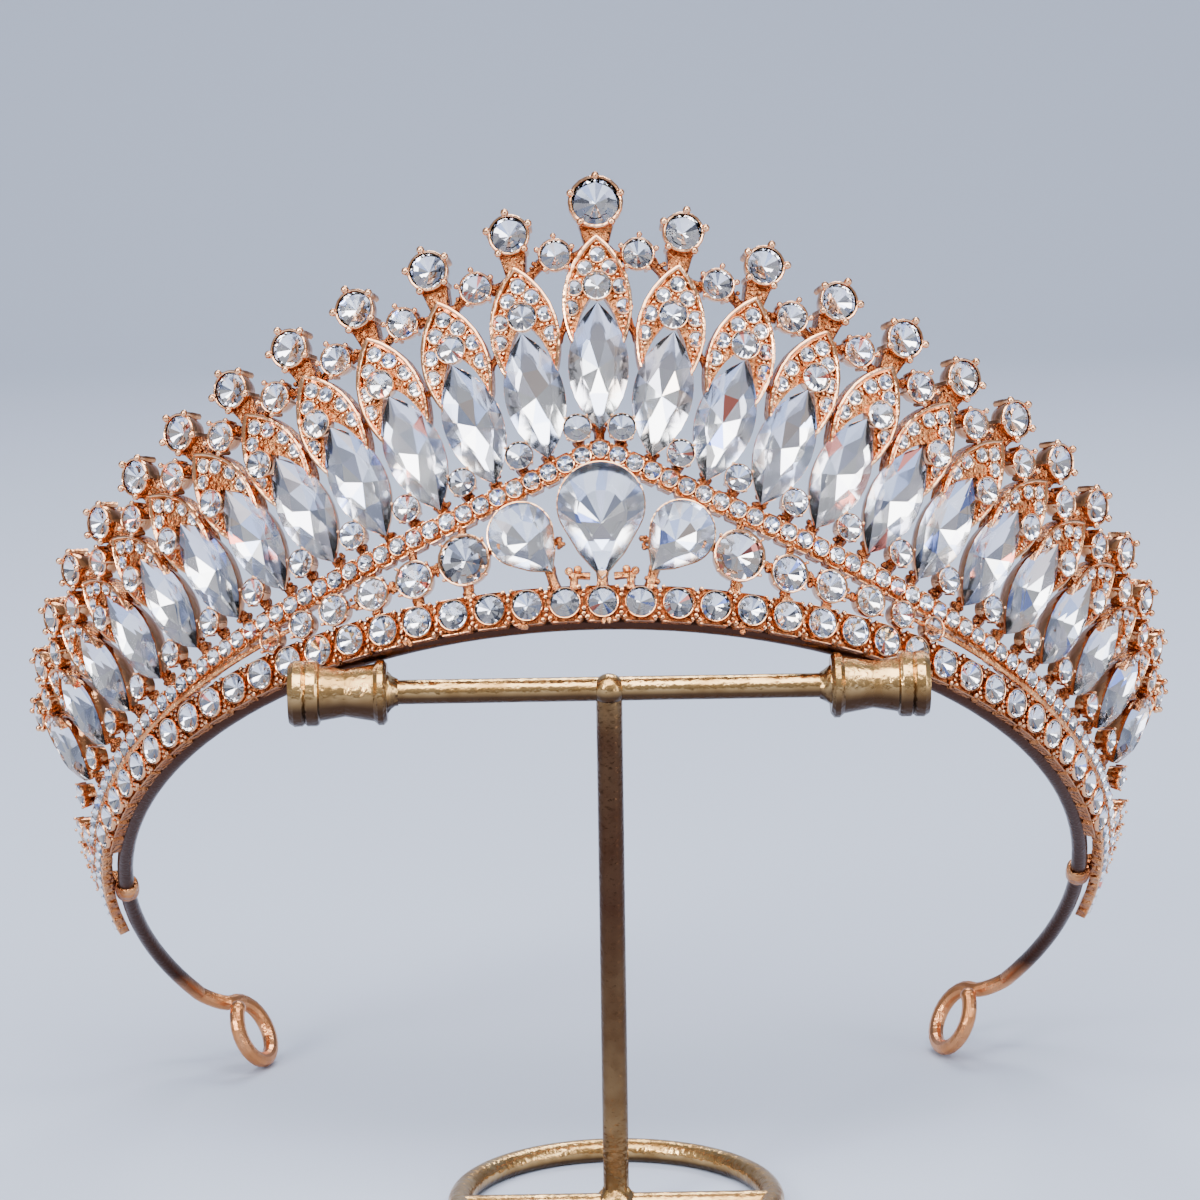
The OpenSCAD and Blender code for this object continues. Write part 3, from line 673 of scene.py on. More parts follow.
def metal(name, light, deep, rough, grain, depth, patch=260.0, hollow=None):
    """Metal whose colour and roughness follow the patch mask, with the grain as bump. A colour of painted
    shade darkens what lies behind the stones, by the piece's own mask of painted shade."""
    material, tree, shader = new_material(name, {"Metallic": 1.0})
    group = add(tree, "ShaderNodeGroup", node_tree=GRAIN)
    group.inputs["Grain"].default_value = grain
    group.inputs["Patch"].default_value = patch
    colour = add(tree, "ShaderNodeMix", data_type="RGBA")
    colour.inputs["A"].default_value = (*deep, 1)
    colour.inputs["B"].default_value = (*light, 1)
    spread = add(tree, "ShaderNodeMapRange", **{"From Min": 0.35, "From Max": 0.62})
    wear = add(tree, "ShaderNodeMapRange", **{
        "From Min": 0.3, "From Max": 0.7, "To Min": rough[1], "To Max": rough[0]})
    bump = add(tree, "ShaderNodeBump", Strength=1.0, Distance=depth)
    connect(tree, (group.outputs["Patch"], spread.inputs["Value"]),
            (spread.outputs[0], colour.inputs["Factor"]),
            (colour.outputs["Result"], shader.inputs["Base Color"]),
            (group.outputs["Patch"], wear.inputs["Value"]),
            (wear.outputs[0], shader.inputs["Roughness"]),
            (group.outputs["Height"], bump.inputs["Height"]),
            (bump.outputs["Normal"], shader.inputs["Normal"]))
    # Painted shade behind the stones, by the piece's mask
    if hollow:
        mix_in(material, add(tree, "ShaderNodeAttribute", attribute_name="hollow").outputs["Fac"], hollow)
    return material


def crystal(name, bend):
    """Clear body of a stone. bend is its index of refraction, low enough to keep its edges light."""
    return new_material(name, {
        "Base Color": (0.99, 0.99, 1.0, 1), "Roughness": 0.0, "IOR": bend, "Transmission Weight": 1.0})[0]


def ramp(tree, stops, steps="LINEAR"):
    """A colour ramp from rows of a position and a colour."""
    node = add(tree, "ShaderNodeValToRGB")
    node.color_ramp.interpolation = steps
    elements = node.color_ramp.elements
    elements.remove(elements[1])
    elements[0].position = stops[0][0]
    elements[0].color = (*stops[0][1], 1)
    for position, colour in stops[1:]:
        elements.new(position).color = (*colour, 1)
    return node


def foil(name, rough, grey, dark):
    """Silvered back of a stone, whose base colour is painted reflection: a value on each facet gives it a
    painted reflection of white, lilac, blue grey, grey or dark, and a few get a painted flash of warm, red or
    blue fire."""
    material, tree, shader = new_material(name, {"Metallic": 1.0, "Roughness": rough})
    painted_reflection = add(tree, "ShaderNodeAttribute", attribute_name="painted_reflection")
    # Colours of painted reflection and painted fire, picked by each facet's value
    colours = ramp(tree, [
        (0.0, (1.0, 1.0, 1.0)), (0.42, (0.90, 0.88, 0.95)), (0.53, (0.60, 0.67, 0.86)), (0.63, grey),
        (0.69, (1.0, 0.98, 1.0)), (0.8, dark), (0.87, (1.0, 0.86, 0.76)), (0.93, (0.95, 0.30, 0.22)),
        (0.948, (0.35, 0.45, 0.95)), (0.965, (1.0, 1.0, 1.0))], "CONSTANT")
    connect(tree, (painted_reflection.outputs["Fac"], colours.inputs["Fac"]),
            (colours.outputs["Color"], shader.inputs["Base Color"]))
    return material


def painted_shade_by_height(material, colour, stops):
    """Mixes a colour of painted shade into a metal by height: stops are millimetres above the table and its
    share.
    """
    tree = material.node_tree
    place = add(tree, "ShaderNodeTexCoord")
    split = add(tree, "ShaderNodeSeparateXYZ")
    scaled = add(tree, "ShaderNodeMath", operation="DIVIDE")
    scaled.inputs[1].default_value = 100 * MM
    shares = ramp(tree, [(height / 100, (share,) * 3) for height, share in stops])
    connect(tree, (place.outputs["Object"], split.inputs["Vector"]), (split.outputs["Z"], scaled.inputs[0]),
            (scaled.outputs[0], shares.inputs["Fac"]))
    mix_in(material, shares.outputs["Color"], colour)


def shade_where_facing_down(material, colour, share):
    """Mixes a darker colour into a metal where its surface faces down, as painted shade on its lower side."""
    tree = material.node_tree
    facing = add(tree, "ShaderNodeNewGeometry")
    split = add(tree, "ShaderNodeSeparateXYZ")
    down = add(tree, "ShaderNodeMapRange", **{"From Min": 0.3, "From Max": -0.4, "To Max": share})
    connect(tree, (facing.outputs["Normal"], split.inputs["Vector"]),
            (split.outputs["Z"], down.inputs["Value"]))
    mix_in(material, down.outputs[0], colour)


# Looks of the stones: a clear body, and a silvered back whose facet colours are painted reflections
ROUND_LOOK = [
    crystal("crystal_round", bend=1.26),
    foil("foil_round", rough=0.05, grey=(0.50, 0.51, 0.58), dark=(0.30, 0.31, 0.36))]
FANCY_LOOK = [
    crystal("crystal_fancy", bend=1.2),
    foil("foil_fancy", rough=0.12, grey=(0.84, 0.87, 0.97), dark=(0.62, 0.66, 0.80))]
# Polished gilt, with a dark colour of painted shade for the recesses behind the stones
GILT = metal("gilt_polished", light=(0.95, 0.53, 0.29), deep=(0.80, 0.38, 0.18), rough=(0.08, 0.2),
             grain=1500, depth=0.06 * MM, patch=320, hollow=(0.38, 0.14, 0.05))
# Cast gilt of the sunk fields, struts and rails: its grain and roughness are real, its colours darker than
# the polished gilt's are painted shade of those recesses, and its last colour is painted shade behind the
# stones
CAST_AND_SHADE = metal("gilt_cast_and_shade", light=(0.90, 0.43, 0.18), deep=(0.58, 0.21, 0.07), rough=(0.1, 0.28),
             grain=1900, depth=0.35 * MM, patch=320, hollow=(0.29, 0.09, 0.03))
WIRE = metal("wire_copper", light=(0.80, 0.36, 0.16), deep=(0.60, 0.24, 0.09), rough=(0.2, 0.36),
             grain=2600, depth=0.03 * MM)
# Painted shade on the headband wire: dark brown from 14 mm up, where it lies in shade, and the copper kept at
# the loops below 9 mm, which catch the light
painted_shade_by_height(WIRE, (0.055, 0.024, 0.016), ((9, 0), (14, 1)))
BRASS = metal("stand_brass", light=(0.76, 0.48, 0.20), deep=(0.46, 0.26, 0.09), rough=(0.16, 0.3),
              grain=1700, depth=0.07 * MM, patch=300)
# Painted shade on the stand: a dark brown mixed in by height, strongest from 38 to 57 mm up the post and gone
# below 2 mm and above 63.6 mm
painted_shade_by_height(BRASS, (0.045, 0.015, 0.01),
          ((2, 0), (5, 0.5), (20, 0.8), (38, 0.95), (57, 0.92), (61.2, 0.72), (63.6, 0)))
# Painted shade on the stand's lower halves, where the bar's and spools' surfaces face down
shade_where_facing_down(BRASS, (0.045, 0.022, 0.013), 0.93)


# Pieces
def hollowness(points):
    """Share of painted shade in the recesses behind the stones, by a point's distance out from the wall: 0 in
    front of the girdles, nearly 1 from 0.6 to 1.6 mm behind them, and 0.35 from 2.4 mm on."""
    across, y, z = (points - [0, CROWN_Y, CROWN_Z]).T
    front, height = -y * np.cos(TILT) + z * np.sin(TILT), y * np.sin(TILT) + z * np.cos(TILT)
    out = (np.hypot(across, front) - BAND_R) * np.cos(FLARE) - height * np.sin(FLARE)
    return np.interp(out, [-2.4, -1.6, -0.6, 0.05], [0.35, 1, 0.9, 0])


def new_object(name, shape, materials):
    """An object with a shape's mesh, in metres."""
    points, blocks = shape
    mesh = bpy.data.meshes.new(name)
    mesh.from_pydata((points * MM).tolist(), [], [row for corners, _ in blocks for row in corners.tolist()])
    numbers = np.concatenate([np.full(len(corners), m) for corners, m in blocks])
    mesh.polygons.foreach_set("material_index", numbers.astype(np.int32))
    mesh.update()
    for material in materials:
        mesh.materials.append(material)
    made = bpy.data.objects.new(name, mesh)
    bpy.context.scene.collection.objects.link(made)
    return made


def piece(name, shape, materials, slot="gilt", smooth=True, replaces=()):
    """A piece of the crown or the stand, smooth but for its sharp edges. Gilt gets a mask of painted shade
    for the recesses behind the stones.
    """
    made = new_object(name, shape, materials)
    if smooth:
        made.data.shade_smooth()
        made.data.set_sharp_from_angle(angle=np.radians(42))
    if slot == "gilt":
        # Mask of painted shade for the recesses behind the stones
        hollow = made.data.attributes.new("hollow", "FLOAT", "POINT")
        hollow.data.foreach_set("value", hollowness(shape[0]).astype(np.float32))
    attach(made, "root")
    if replaces:
        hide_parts(*replaces)
    return made


def stones(name, shape, replaces=(), split=None, look=ROUND_LOOK):
    """Stones with a painted reflection on each facet. With a split height, in millimetres, facets above it
    get greyer painted reflections than those below, and without one every second facet gets a painted white
    reflection."""
    made = piece(name, shape, look, "crystal", smooth=False, replaces=replaces)
    count = len(made.data.polygons)
    # Painted reflections: a value for each facet, which picks its colour on the foil
    painted_reflection = random.random(count)
    if split is None:
        painted_reflection = np.where(np.arange(count) % 2, 0.42 * painted_reflection, 0.42 + 0.54 * painted_reflection)
    else:
        middle = np.empty(count * 3)
        made.data.polygons.foreach_get("center", middle)
        painted_reflection = np.where(middle[2::3] > split * MM, 0.42 + 0.54 * painted_reflection, 0.97 * painted_reflection ** 1.8)
    made.data.attributes.new("painted_reflection", "FLOAT", "FACE").data.foreach_set("value", painted_reflection.astype(np.float32))


band_curve = rail_curve(lambda phi: phi * 0, BAND_END + 4)
chevron_curve = rail_curve(lambda phi: chevron_at(np.hypot(phi, 0.6)), CHEVRON_END + 3)
band_at = np.arange(-BAND_SIDE, BAND_SIDE + 1) * BAND_PITCH
end_first = (BAND_SIDE + 0.5) * BAND_PITCH + END_PITCH / 2
end_count = int((np.radians(BAND_END) * BAND_R - end_first) // END_PITCH) + 1
end_right = end_first + np.arange(end_count) * END_PITCH
end_left = -end_right[::-1]
chevron_side = int(np.interp(CHEVRON_END, chevron_curve[1], chevron_curve[0]) // CHEVRON_PITCH)
chevron_index = np.arange(-chevron_side, chevron_side + 1)
chevron_stones_at = chevron_index * CHEVRON_PITCH


def make_stones():
    """Every cut stone but the pave. Those that replace a node of the source stand in its places."""
    for k in units:
        shape = fancy_cut(navette_outline(navette_w(k), navette_l(k)), *NAVETTE_CUT)
        place = navette_places(k)
        number = k + SIDE_UNITS + 1
        stones(f"navette_cut_{number}", stamped(shape, place), [f"navette_{number}"],
               frames(place)[0, 2, 3] + 0.3, FANCY_LOOK)
    # Pears: name, side, place and size, corners of the outline, table
    pears = (
        ("middle", 0, PEAR_MIDDLE, 24, 0.56),
        ("left", -1, PEAR_SIDE, 18, 0.6),
        ("right", 1, PEAR_SIDE, 18, 0.6))
    for name, side, (phi, s, lean, w, l), corners, table in pears:
        cut = fancy_cut(pear_outline(w, l, corners), table, w * PEAR_CROWN, w * PEAR_DEEP)
        place = [side * phi, s, side * lean]
        stones(f"pear_cut_{name}", stamped(cut, place), [f"pear_{name}"], look=FANCY_LOOK)
        if side:
            phi, s, d = GALLERY[0]
            stones(f"round_cut_{name}", stamped(ROUND, [side * phi, s, 0], d), [f"round_{name}"])
    small = np.concatenate([GALLERY[1:], END_CUPS])
    for name, cut, places, sizes, out in (
            ("gallery", ROUND, gallery_places(small), np.tile(small[:, 2], 2), 0),
            ("tip", ROUND, tip_places, tip_size(units), 0),
            ("link", ROUND, link_places, link_size(between), 0),
            ("leaf", FLAT_ROUND, leaf_places, leaf_size(leaf_units), LEAF_OUT),
            ("foot", ROUND, foot_places, foot_size(feet), FOOT_OUT),
            ("band", ROUND, rail_places(band_curve, band_at), BAND_D, 0)):
        stones(f"{name}_cut", stamped(cut, places, sizes, out), [f"{name}_stones"])
    stones("chevron_cut", stamped(SMALL, rail_places(chevron_curve, chevron_stones_at), CHEVRON_D, 0.05))
    ends = rail_places(band_curve, np.concatenate([end_left, end_right]))
    stones("end_cut", stamped(SMALL, ends, END_D, 0.05))


def leaf_plate():
    """A leaf: from its outer back edge the profile climbs the side, rolls over a raised rim, drops to the
    grained field and crosses it to the inner edge, then returns along the back."""
    # Right half from the leg's point to the tip: outer edge and the inner edge beside it
    outer = np.array([
        [2.95, 2.6], [3.35, 3.4], [3.85, 5.2], [4.08, 7.0], [3.98, 8.8],
        [3.5, 10.8], [2.65, 12.6], [1.5, 14.2], [0.45, 15.2], [0.0, 15.5]])
    inner = np.array([
        [2.9, 2.65], [2.72, 3.4], [2.35, 5.0], [1.75, 6.6], [0.9, 8.0],
        [0.0, 8.9], [0.0, 10.6], [0.0, 12.4], [0.0, 13.8], [0.0, 14.6]])
    # Reach in from the outer edge and height, along the profile
    reach = np.array([0.0, 0.0, 0.1, 0.3, 0.48, 0.6, 0.74, 0.88, 9.0, 9.0])
    height = np.array([-2.0, -0.1, 0.14, 0.2, 0.1, -0.06, 0.05, -0.3, -0.3, -2.0])
    t, fine = np.linspace(0, 1, len(outer)), np.linspace(0, 1, 21)
    edges = []
    for half in (outer, inner):
        half = np.stack([np.interp(fine, t, column) for column in half.T], axis=1)
        edges.append(np.concatenate([half * [-1, 1], half[-2::-1]]))
    outer, inner = edges
    width = np.linalg.norm(outer - inner, axis=1)[:, None]
    step = (inner - outer) / np.maximum(width, 1e-6)
    reach = np.minimum(reach, width)
    points = outer[:, None] + step[:, None] * reach[:, :, None]
    points = np.concatenate([points, np.broadcast_to(height[None, :, None], reach.shape + (1,))], axis=2)
    points, blocks = grid(points, close_v=True)
    count = len(height)
    quads = blocks[0][0]
    rim = np.isin(quads[:, 0] % count, np.arange(1, 7))
    ends = [(np.arange(count)[None], 0), ((len(outer) - 1) * count + np.arange(count)[None, ::-1], 0)]
    return outward(*weld(points, [(quads[rim], 0), (quads[~rim], 1)] + ends))


def on_leaves(rows):
    """Places on every leaf, from rows of sideways and up distances on the middle one."""
    side, up = (np.outer(side_scale(units), column).ravel() for column in rows.T)
    return in_unit(np.repeat(units, len(rows)), side, up)


def make_leaves():
    """Leaf plates bent onto the wall, with pave stones in rings and grains between them."""
    # Pave stones on a leaf: sideways, up, diameter
    spots = np.array([
        [0.1, 13.1, 1.75], [-1.35, 11.55, 1.7], [1.45, 11.6, 1.75], [-2.6, 9.2, 1.75], [2.65, 9.4, 1.7],
        [-3.0, 6.9, 1.7], [3.05, 7.0, 1.75]])
    # Grains on a leaf: sideways, up
    dots = np.array([
        [0.0, 14.4], [-0.45, 14.0], [0.5, 13.95], [-1.1, 12.75], [1.15, 12.7], [-0.35, 11.9], [0.4, 11.85],
        [-2.35, 10.55], [2.4, 10.7], [-1.95, 10.1], [1.95, 10.2], [0.0, 11.35], [-0.5, 11.3], [0.55, 11.25],
        [-3.25, 8.1], [3.3, 8.2], [-2.7, 8.0], [2.75, 8.15], [-2.1, 8.0], [2.1, 8.1], [-3.2, 5.7], [3.2, 5.8],
        [-2.75, 5.6], [2.75, 5.7], [-3.05, 5.1], [3.05, 5.2], [-3.0, 4.5], [3.0, 4.6],
        [-2.95, 3.9], [2.95, 4.0]])
    points, blocks = leaf_plate()
    plates = []
    for k, f in zip(units, side_scale(units)):
        plates.append(wrapped((points * [f, f, 1], blocks), in_unit(k, 0, 0)))
    piece("leaf_plates", join(plates), [GILT, CAST_AND_SHADE])
    pave = on_leaves(spots[:, :2])
    pave_d = np.outer(side_scale(units), spots[:, 2]).ravel()
    stones("pave_cut", stamped(FLAT_SMALL, pave, pave_d, 0.03))
    ring = lathe([
        [0, -0.3], [0.54, -0.3], [0.6, -0.1], [0.6, 0.02], [0.55, 0.07], [0.5, 0.04], [0.49, -0.01],
        [0, -0.18]], 14)
    piece("pave_rings", stamped(ring, pave, pave_d), [GILT])
    piece("leaf_grains", stamped(bead(0.25), on_leaves(dots), 1.0, -0.2), [GILT])


def make_cups():
    """Cups for the rounds, each row but the leaves' with its own claws."""
    made = [stamped(cup(1, 0.1, 0.65, 0.72, rim=0.07), tip_places, tip_size(units))]
    for chosen, size, reach in ((units == 0, 5.4, 2.97), (units != 0, 4.0, 2.4)):
        claws = ring_of(prong(reach, -size * 0.6, 0.55, 0.5, 0.4, 0.1), 90 + np.arange(5) * 72)
        made.append(stamped(claws, tip_places[chosen], tip_size(units)[chosen] / size))
    scale = link_size(between) / LINK_D
    made.append(stamped(cup(LINK_D, 0.28, 2.1), link_places, scale))
    claws = ring_of(prong(1.98, -1.6, 0.62, 0.36, 0.27, 0.15), [90, 18, 162, 234, 306])
    made.append(stamped(claws, link_places, scale))
    scale = leaf_size(leaf_units) / LEAF_D
    made.append(stamped(cup(LEAF_D, 0.2, rim=0.16), leaf_places, scale, LEAF_OUT))
    scale = foot_size(feet) / 3
    made.append(stamped(cup(3.0, 0.1, 1.9, rim=0.08), foot_places, scale, FOOT_OUT))
    claws = ring_of(prong(1.62, -1.2, 0.3, 0.19, 0.15, 0.05), [45, 135, 225, 315])
    made.append(stamped(claws, foot_places, scale, FOOT_OUT))
    for rows, wall in ((GALLERY, 0.28), (END_CUPS, 0.3)):
        for row in rows:
            d = row[2]
            places = gallery_places(row[None])
            made.append(stamped(cup(d, wall, d * 0.42 + 0.6, rim=0.14), places))
            claws = ring_of(prong(d / 2 + wall, -0.8, 0.38, 0.22, 0.2, 0.15), [40, 140, 220, 320])
            made.append(stamped(claws, places))
    piece("stone_cups", join(made), [GILT])


def make_seats():
    """Closed backs under the navettes and pears, just inside their girdles."""
    made = []
    for k in units:
        seat = around(navette_outline(navette_w(k), navette_l(k), 24), [
            [0, 0, -2.8], [0.6, 0, -2.8], [0.9, 0, -1.5], [1, 0, -0.35], [1, 0, -0.06], [1, -0.12, -0.08],
            [0.5, 0, -1.55], [0, 0, -2.6]])
        made.append(stamped(seat, navette_places(k)))
    for side, (phi, s, lean, w, l) in ((1, PEAR_MIDDLE), (1, PEAR_SIDE), (-1, PEAR_SIDE)):
        deep = w * 0.33
        seat = around(pear_outline(w, l, 32), [
            [0, 0, -deep - 0.5], [0.66, 0, -deep - 0.5], [0.93, 0, -deep * 0.6], [1, 0.14, -0.2],
            [1, 0.14, 0.06], [1, 0.02, 0.08], [1, 0, -0.05], [0.5, 0, -deep * 0.62], [0, 0, -deep - 0.1]])
        made.append(stamped(seat, [side * phi, s, side * lean]))
    piece("stone_seats", join(made), [GILT])


def make_rails():
    """The band with its ends, the chevron row and the plain rails between the two at the sides."""
    band = [rail_cells(band_curve, band_at, BAND_PITCH, hole=BAND_D / 2 + 0.06, low=BAND_HALF + 0.2,
                       high=BAND_HALF, back=-BAND_THICK, rim=0.05, field=-0.6, lip=-0.4)]
    for at in (end_left, end_right):
        band.append(rail_cells(band_curve, at, END_PITCH, hole=END_D / 2 + 0.03, low=END_HALF,
                               high=END_HALF, back=-END_THICK, rim=0.05, field=-0.3, lip=0.04, sides=16))
    piece("band_rail", join(band), [GILT, CAST_AND_SHADE], replaces=["casting"])
    chevron = rail_cells(chevron_curve, chevron_stones_at, CHEVRON_PITCH, hole=CHEVRON_D / 2 - 0.03,
                         low=CHEVRON_LOW, high=CHEVRON_HIGH, back=-BAND_THICK, rim=0.03, field=-0.4,
                         lip=-0.25, sides=16)
    piece("chevron_rail", chevron, [GILT, CAST_AND_SHADE])
    phi = np.concatenate([[34], np.linspace(34, 96, 60), [96]])
    radii = np.concatenate([[0], np.linspace(0.3, 0.45, 20), np.full(40, 0.45), [0]])
    height = (BAND_HALF + chevron_at(phi) - 0.9) / 2
    for side, name in ((-1, "left"), (1, "right")):
        path = wall_xyz(side * phi, height, -0.3)
        path[0] -= (path[2] - path[1]) * 1e-3
        path[-1] += (path[-2] - path[-3]) * 1e-3
        outer = wall_xyz(side * phi, height, 1.0) - path
        piece(f"side_rail_{name}", tube(path, radii, outer, 8), [CAST_AND_SHADE])


def make_struts():
    """Necks under the tips, struts between the cups and rails, and the casting's lumps and grains."""
    made = []
    for k in units:
        f = float(side_scale(k))
        top = TIP_RISE * f - tip_size(k) / 2 + 0.1
        w = 2.0 if k == 0 else 1.6
        neck = slab([[-w, top], [-w * 0.75, 14.8 * f], [-1.0, NECK_RISE * f], [1.0, NECK_RISE * f],
                     [w * 0.75, 14.8 * f], [w, top]], -2.6, -0.5, 0.3)
        made.append(wrapped(neck, in_unit(k, 0, 0)))
        phi, s, turn = navette_places(k)[0]
        reach = navette_l(k) / 2 - 0.6
        s -= reach * np.cos(np.radians(turn))
        phi -= np.degrees(reach * np.sin(np.radians(turn)) / wall_r(s))
        made.append(wall_rib([phi, s], [phi, chevron_at(phi) + 0.3], 0.9, -1.6))
    for k in between:
        f = float(side_scale(k))
        for other, way in ((k - 0.5, 1), (k + 0.5, -1)):
            link = in_unit(k, -way * 1.5, (LINK_RISE - 0.4) * f)[0]
            high = in_unit(other, way * 1.1, 13.9 * side_scale(other))[0]
            made.append(wall_rib(link[:2], high[:2], 0.8, -1.3))
        left = in_unit(k - 0.5, 3.4, 6.0 * f)[0]
        right = in_unit(k + 0.5, -3.4, 6.0 * f)[0]
        made.append(wall_rib(left[:2], right[:2], 0.6, -1.5))
    for k, (phi, s, _) in zip(feet, foot_places):
        made.append(wall_rib([phi, s - 1.0], [phi - np.sign(k) * 0.5, chevron_at(phi)], 0.8, -1.7))
    # Gallery struts on each side: angle and height of both ends, radius, waist
    gallery_struts = []
    for phi, s, d in GALLERY[:3]:
        gallery_struts.append((phi, 1.6, phi, s - d / 2 + 0.3, 0.75, 0.85))
        gallery_struts.append((phi, s + d / 2 - 0.3, phi, chevron_at(phi) - 0.9, 0.6, 0.85))
    gallery_struts += [
        (4.8, 1.6, 5.4, 4.4, 0.75, 0.85), (4.2, 7.3, 5.2, 7.0, 0.6, 0.7), (10.0, 7.2, 11.6, 6.7, 0.6, 0.7),
        (16.2, 5.6, 17.6, 5.3, 0.5, 0.7), (21.2, 4.8, 22.2, 4.6, 0.5, 0.7)]
    for side in (-1, 1):
        for a, low, b, high, radius, waist in gallery_struts:
            made.append(wall_rib([side * a, low], [side * b, high], radius, -0.9, waist))
    made.append(wall_rib([0, 1.6], [0, 3.6], 0.8, -0.7, 0.85))
    made.append(wall_rib([0, 15.6], [0, 17.2], 0.7, -1.0, 0.85))
    made.append(strewn(in_unit(units, 0, 15.6 * side_scale(units)), 9, 1.1, 0.2, 0.42, -0.6))
    for way in (-1, 1):
        arms = in_unit(between, way * 2.6, 14.2 * side_scale(between))
        made.append(strewn(arms, 4, 0.7, 0.2, 0.36, -0.75))
    made.append(strewn(in_fan(feet, FOOT_DROP + 2.2), 5, 0.8, 0.22, 0.4, -1.1))
    turn = np.radians(navette_turn(units))
    drop = np.stack([np.degrees(6.9 * np.sin(turn) / BAND_R), 6.9 * np.cos(turn), turn * 0], axis=1)
    made.append(strewn(navette_places(units) - drop, 5, 0.9, 0.25, 0.42, -1.0))
    pads = both_sides([
        [4.4, 6.9, 0], [10.6, 7.1, 0], [13.8, 2.4, 0], [16.9, 5.6, 0], [21.6, 4.8, 0], [26.1, 4.2, 0],
        [19.2, 2.2, 0], [23.8, 2.1, 0], [5.0, 2.4, 0]])
    made.append(strewn(pads, 8, 0.7, 0.25, 0.45, -0.8))
    drips = [[-21, -2.0, 0], [-8.4, -2.0, 0], [0.5, -2.0, 0], [14.6, -2.0, 0]]
    made.append(strewn(drips, 5, 0.6, 0.25, 0.4, -0.5))
    for side in (-1, 1):
        made.append(wall_rib([side * 2.9, 1.5], [side * 2.9, 3.3], 0.6, -0.6, 0.85))
        made.append(wall_rib([side * 1.2, 3.0], [side * 3.4, 3.2], 0.5, -0.6, 0.9))
        made.append(stamped(bead(0.52, 10, 8), [[side * 2.45, 3.75, 0], [side * 3.35, 3.6, 0]], 1.0, -0.35))
    piece("cast_struts", join(made), [CAST_AND_SHADE])


def make_rail_grains():
    """Grains between the stones of the band and of the chevron row."""
    # Grains between two band stones: height, distance along the rail
    spots = np.array([
        [1.75, -0.5], [1.8, 0.45], [1.35, 0.05], [0.8, 0.0],
        [-0.7, 0.0], [-1.3, -0.05], [-1.7, 0.4], [-1.75, -0.45]])
    half = (np.arange(-BAND_SIDE, BAND_SIDE) + 0.5) * BAND_PITCH
    places = np.concatenate([rail_places(band_curve, half + along) + [0, up, 0] for up, along in spots])
    made = [stamped(bead(1.0), places, 0.24 + 0.12 * random.random(len(places)), -0.3)]
    middle = rail_places(chevron_curve, (chevron_index[:-1] + 0.5) * CHEVRON_PITCH)
    slope = np.radians(-middle[:, 2])
    for across in (0.85, -0.85):
        s = middle[:, 1] + across * np.cos(slope)
        phi = middle[:, 0] - np.degrees(across * np.sin(slope) / wall_r(s))
        made.append(stamped(bead(0.2), np.stack([phi, s, middle[:, 2]], axis=1), 1.0, 0.1))
    piece("rail_grains", join(made), [GILT])


def make_wire_tabs():
    """A short barrel clipped round the wire behind each end of the band, with a foot to the band's back."""
    beyond_band = WIRE_HOOP_R - BAND_R
    s = beyond_band * np.sin(FLARE) + WIRE_H * np.cos(FLARE)
    out = beyond_band * np.cos(FLARE) - WIRE_H * np.sin(FLARE)
    points, blocks = lathe([
        [0, -1.2], [1.25, -1.2], [1.5, -0.95], [1.56, 0], [1.5, 0.95], [1.25, 1.2], [0, 1.2]], 20)
    made = [stamped((points[:, [2, 0, 1]], blocks), both_sides([[TAB_ANGLE, s, 0]]), 1.0, out)]
    for phi in (-TAB_ANGLE, TAB_ANGLE):
        made.append(wall_rib([phi, -1.0], [phi, 0.8], 1.0, -1.7, 0.9))
    piece("wire_tabs", join(made), [CAST_AND_SHADE])


def make_welds():
    """Rough rings of solder where the stand's bar enters its spools and where the post meets the base."""
    points, blocks = lathe([
        [0, -0.2], [2.3, -0.2], [2.25, 0.1], [1.9, 0.5], [1.6, 0.9], [1.45, 1.25], [0, 1.25]], 24)
    turn = np.arctan2(points[:, 1], points[:, 0])
    lump = 1 + 0.07 * np.sin(5 * turn + 3 * points[:, 2]) + 0.05 * np.sin(9 * turn - 2)
    ring = points * np.stack([lump, lump, np.ones(len(lump))], axis=1)
    made = []
    for side in (-1, 1):
        across = ring[:, [2, 0, 1]] * [-side, 1, side] + [STAND_X + side * SPOOL_IN, 0, BAR_Z]
        made.append(outward(across, blocks))
    made.append((ring + [STAND_X, 0, 2.3], blocks))
    piece("stand_welds", join(made), [BRASS], "stand_brass")


def dress_frame_nodes():
    """Materials of the headband and the stand, which stay as packed."""
    for name, material in (("headband", WIRE), ("stand", BRASS)):
        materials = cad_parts[name].data.materials
        materials.clear()
        materials.append(material)


make_stones()
make_leaves()
make_cups()
make_seats()
make_rails()
make_struts()
make_rail_grains()
make_wire_tabs()
make_welds()
dress_frame_nodes()


# Floor, light and camera, in metres but for the floor's own sizes
CROWN_MIDDLE = (0.0, 0.02, 0.07)


def make_stage():
    """A floor that curves up into a backdrop: a straight run, a quarter turn and a straight rise."""
    turn = np.linspace(0, np.pi / 2, 17)
    reach, back, bend, top = 12000.0, 900.0, 500.0, 3000.0
    y = np.concatenate([[-reach], back + bend * np.sin(turn), [back + bend]])
    z = np.concatenate([[0], bend - bend * np.cos(turn), [top]])
    x = np.array([-reach, reach])
    points, blocks = grid(np.stack(np.broadcast_arrays(x, y[:, None], z[:, None]), axis=-1))
    pale = new_material("floor_pale", {"Base Color": (0.47, 0.53, 0.67, 1), "Roughness": 0.8})[0]
    floor = new_object("floor", (points, [(blocks[0][0][:, ::-1], 0)]), [pale])
    floor.data.shade_smooth()


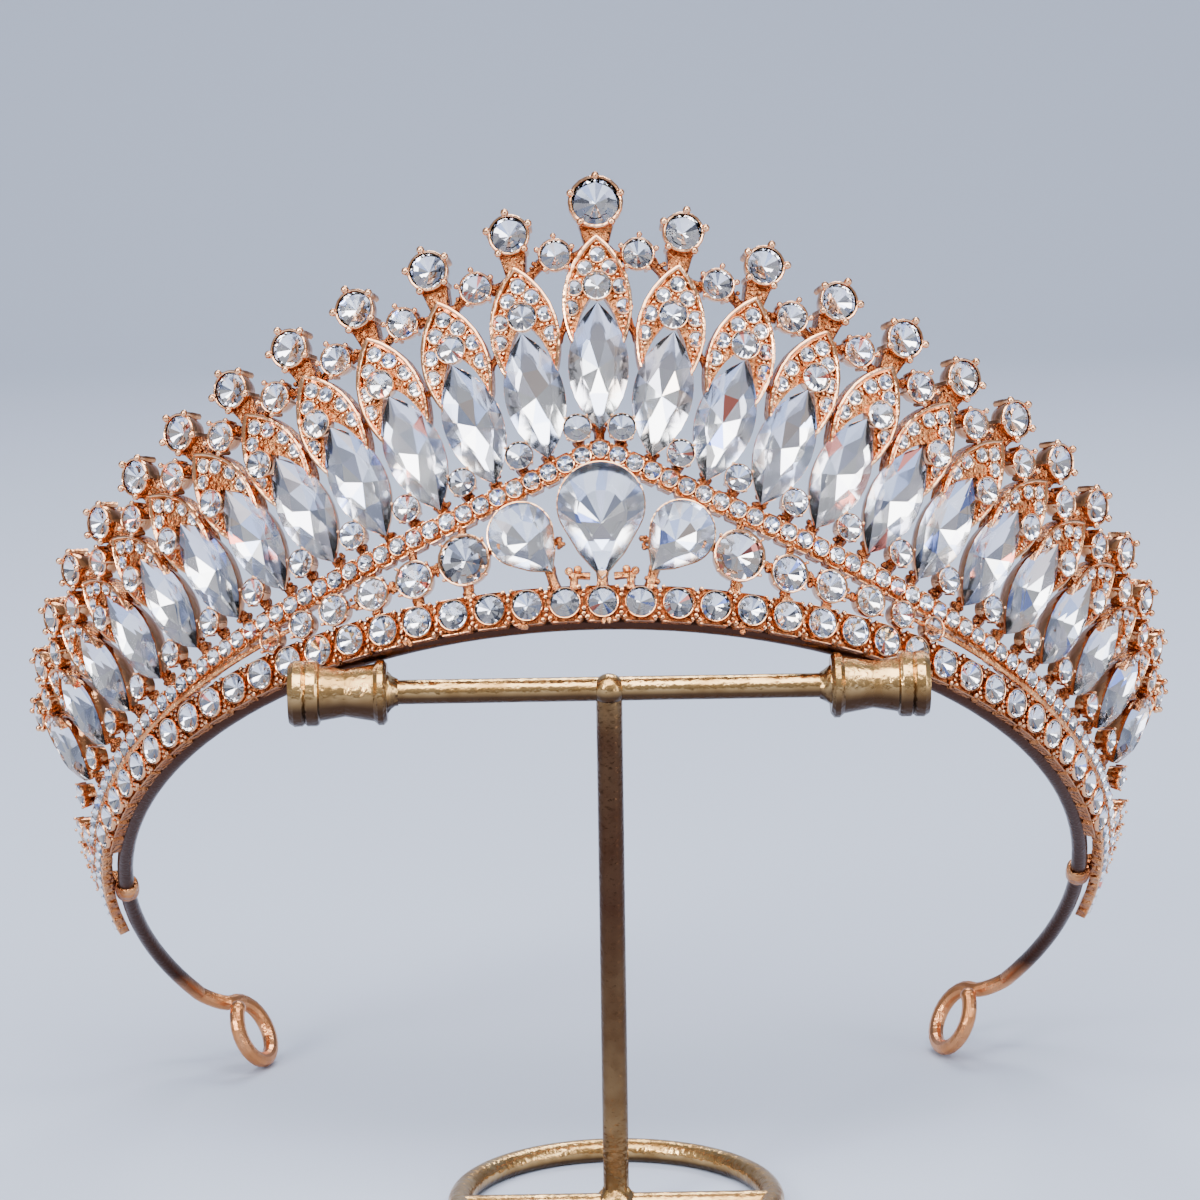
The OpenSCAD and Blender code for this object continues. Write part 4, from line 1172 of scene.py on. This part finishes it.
def show(name, data, right, up, back, place):
    """A light or camera at a place, from its right, up and back directions."""
    made = bpy.data.objects.new(name, data)
    made.matrix_world = Matrix(np.vstack([np.stack([right, up, back, place], axis=1), [0, 0, 0, 1]]))
    bpy.context.scene.collection.objects.link(made)
    return made


def area_light(name, place, size, power, colour=(1, 1, 1)):
    """A soft rectangle of light that faces the middle of the crown."""
    light = bpy.data.lights.new(name, "AREA")
    light.shape = "RECTANGLE"
    light.size, light.size_y = size
    light.energy = power
    light.color = colour
    back = np.array(place) - CROWN_MIDDLE
    back /= np.linalg.norm(back)
    right = np.cross((0, 0, 1), back)
    right /= np.linalg.norm(right)
    show(name, light, right, np.cross(back, right), back, place)


def make_lights():
    """Four soft lights and pale surroundings."""
    area_light("overhead", (0.0, -0.5, 1.0), (1.3, 0.7), 25)
    area_light("key", (-0.75, -0.85, 0.6), (0.3, 0.35), 10)
    area_light("fill", (0.95, -0.6, 0.35), (0.5, 0.6), 6, (0.92, 0.95, 1.0))
    area_light("back", (0.1, 0.6, 0.8), (0.5, 0.25), 5)
    world = bpy.data.worlds.new("studio")
    world.use_nodes = True
    background = world.node_tree.nodes["Background"]
    background.inputs["Color"].default_value = (0.84, 0.86, 0.94, 1)
    background.inputs["Strength"].default_value = 0.5
    bpy.context.scene.world = world


def make_camera():
    """The photograph's view: right, up and back directions from yaw, pitch and roll."""
    yaw, pitch, roll = np.radians([0.58, 9.92, 0.85])
    forward = np.array([np.sin(yaw) * np.cos(pitch), np.cos(yaw) * np.cos(pitch), -np.sin(pitch)])
    level = np.array([np.cos(yaw), -np.sin(yaw), 0])
    upright = np.cross(level, forward)
    right = level * np.cos(roll) - upright * np.sin(roll)
    up = level * np.sin(roll) + upright * np.cos(roll)
    place = np.array([-4.6, -426.6, 147.7]) * MM
    data = bpy.data.cameras.new("camera")
    data.sensor_width = 36
    data.lens = 114.3
    data.clip_start = 0.01
    bpy.context.scene.camera = show("camera", data, right, up, -forward, place)


make_stage()
make_lights()
make_camera()
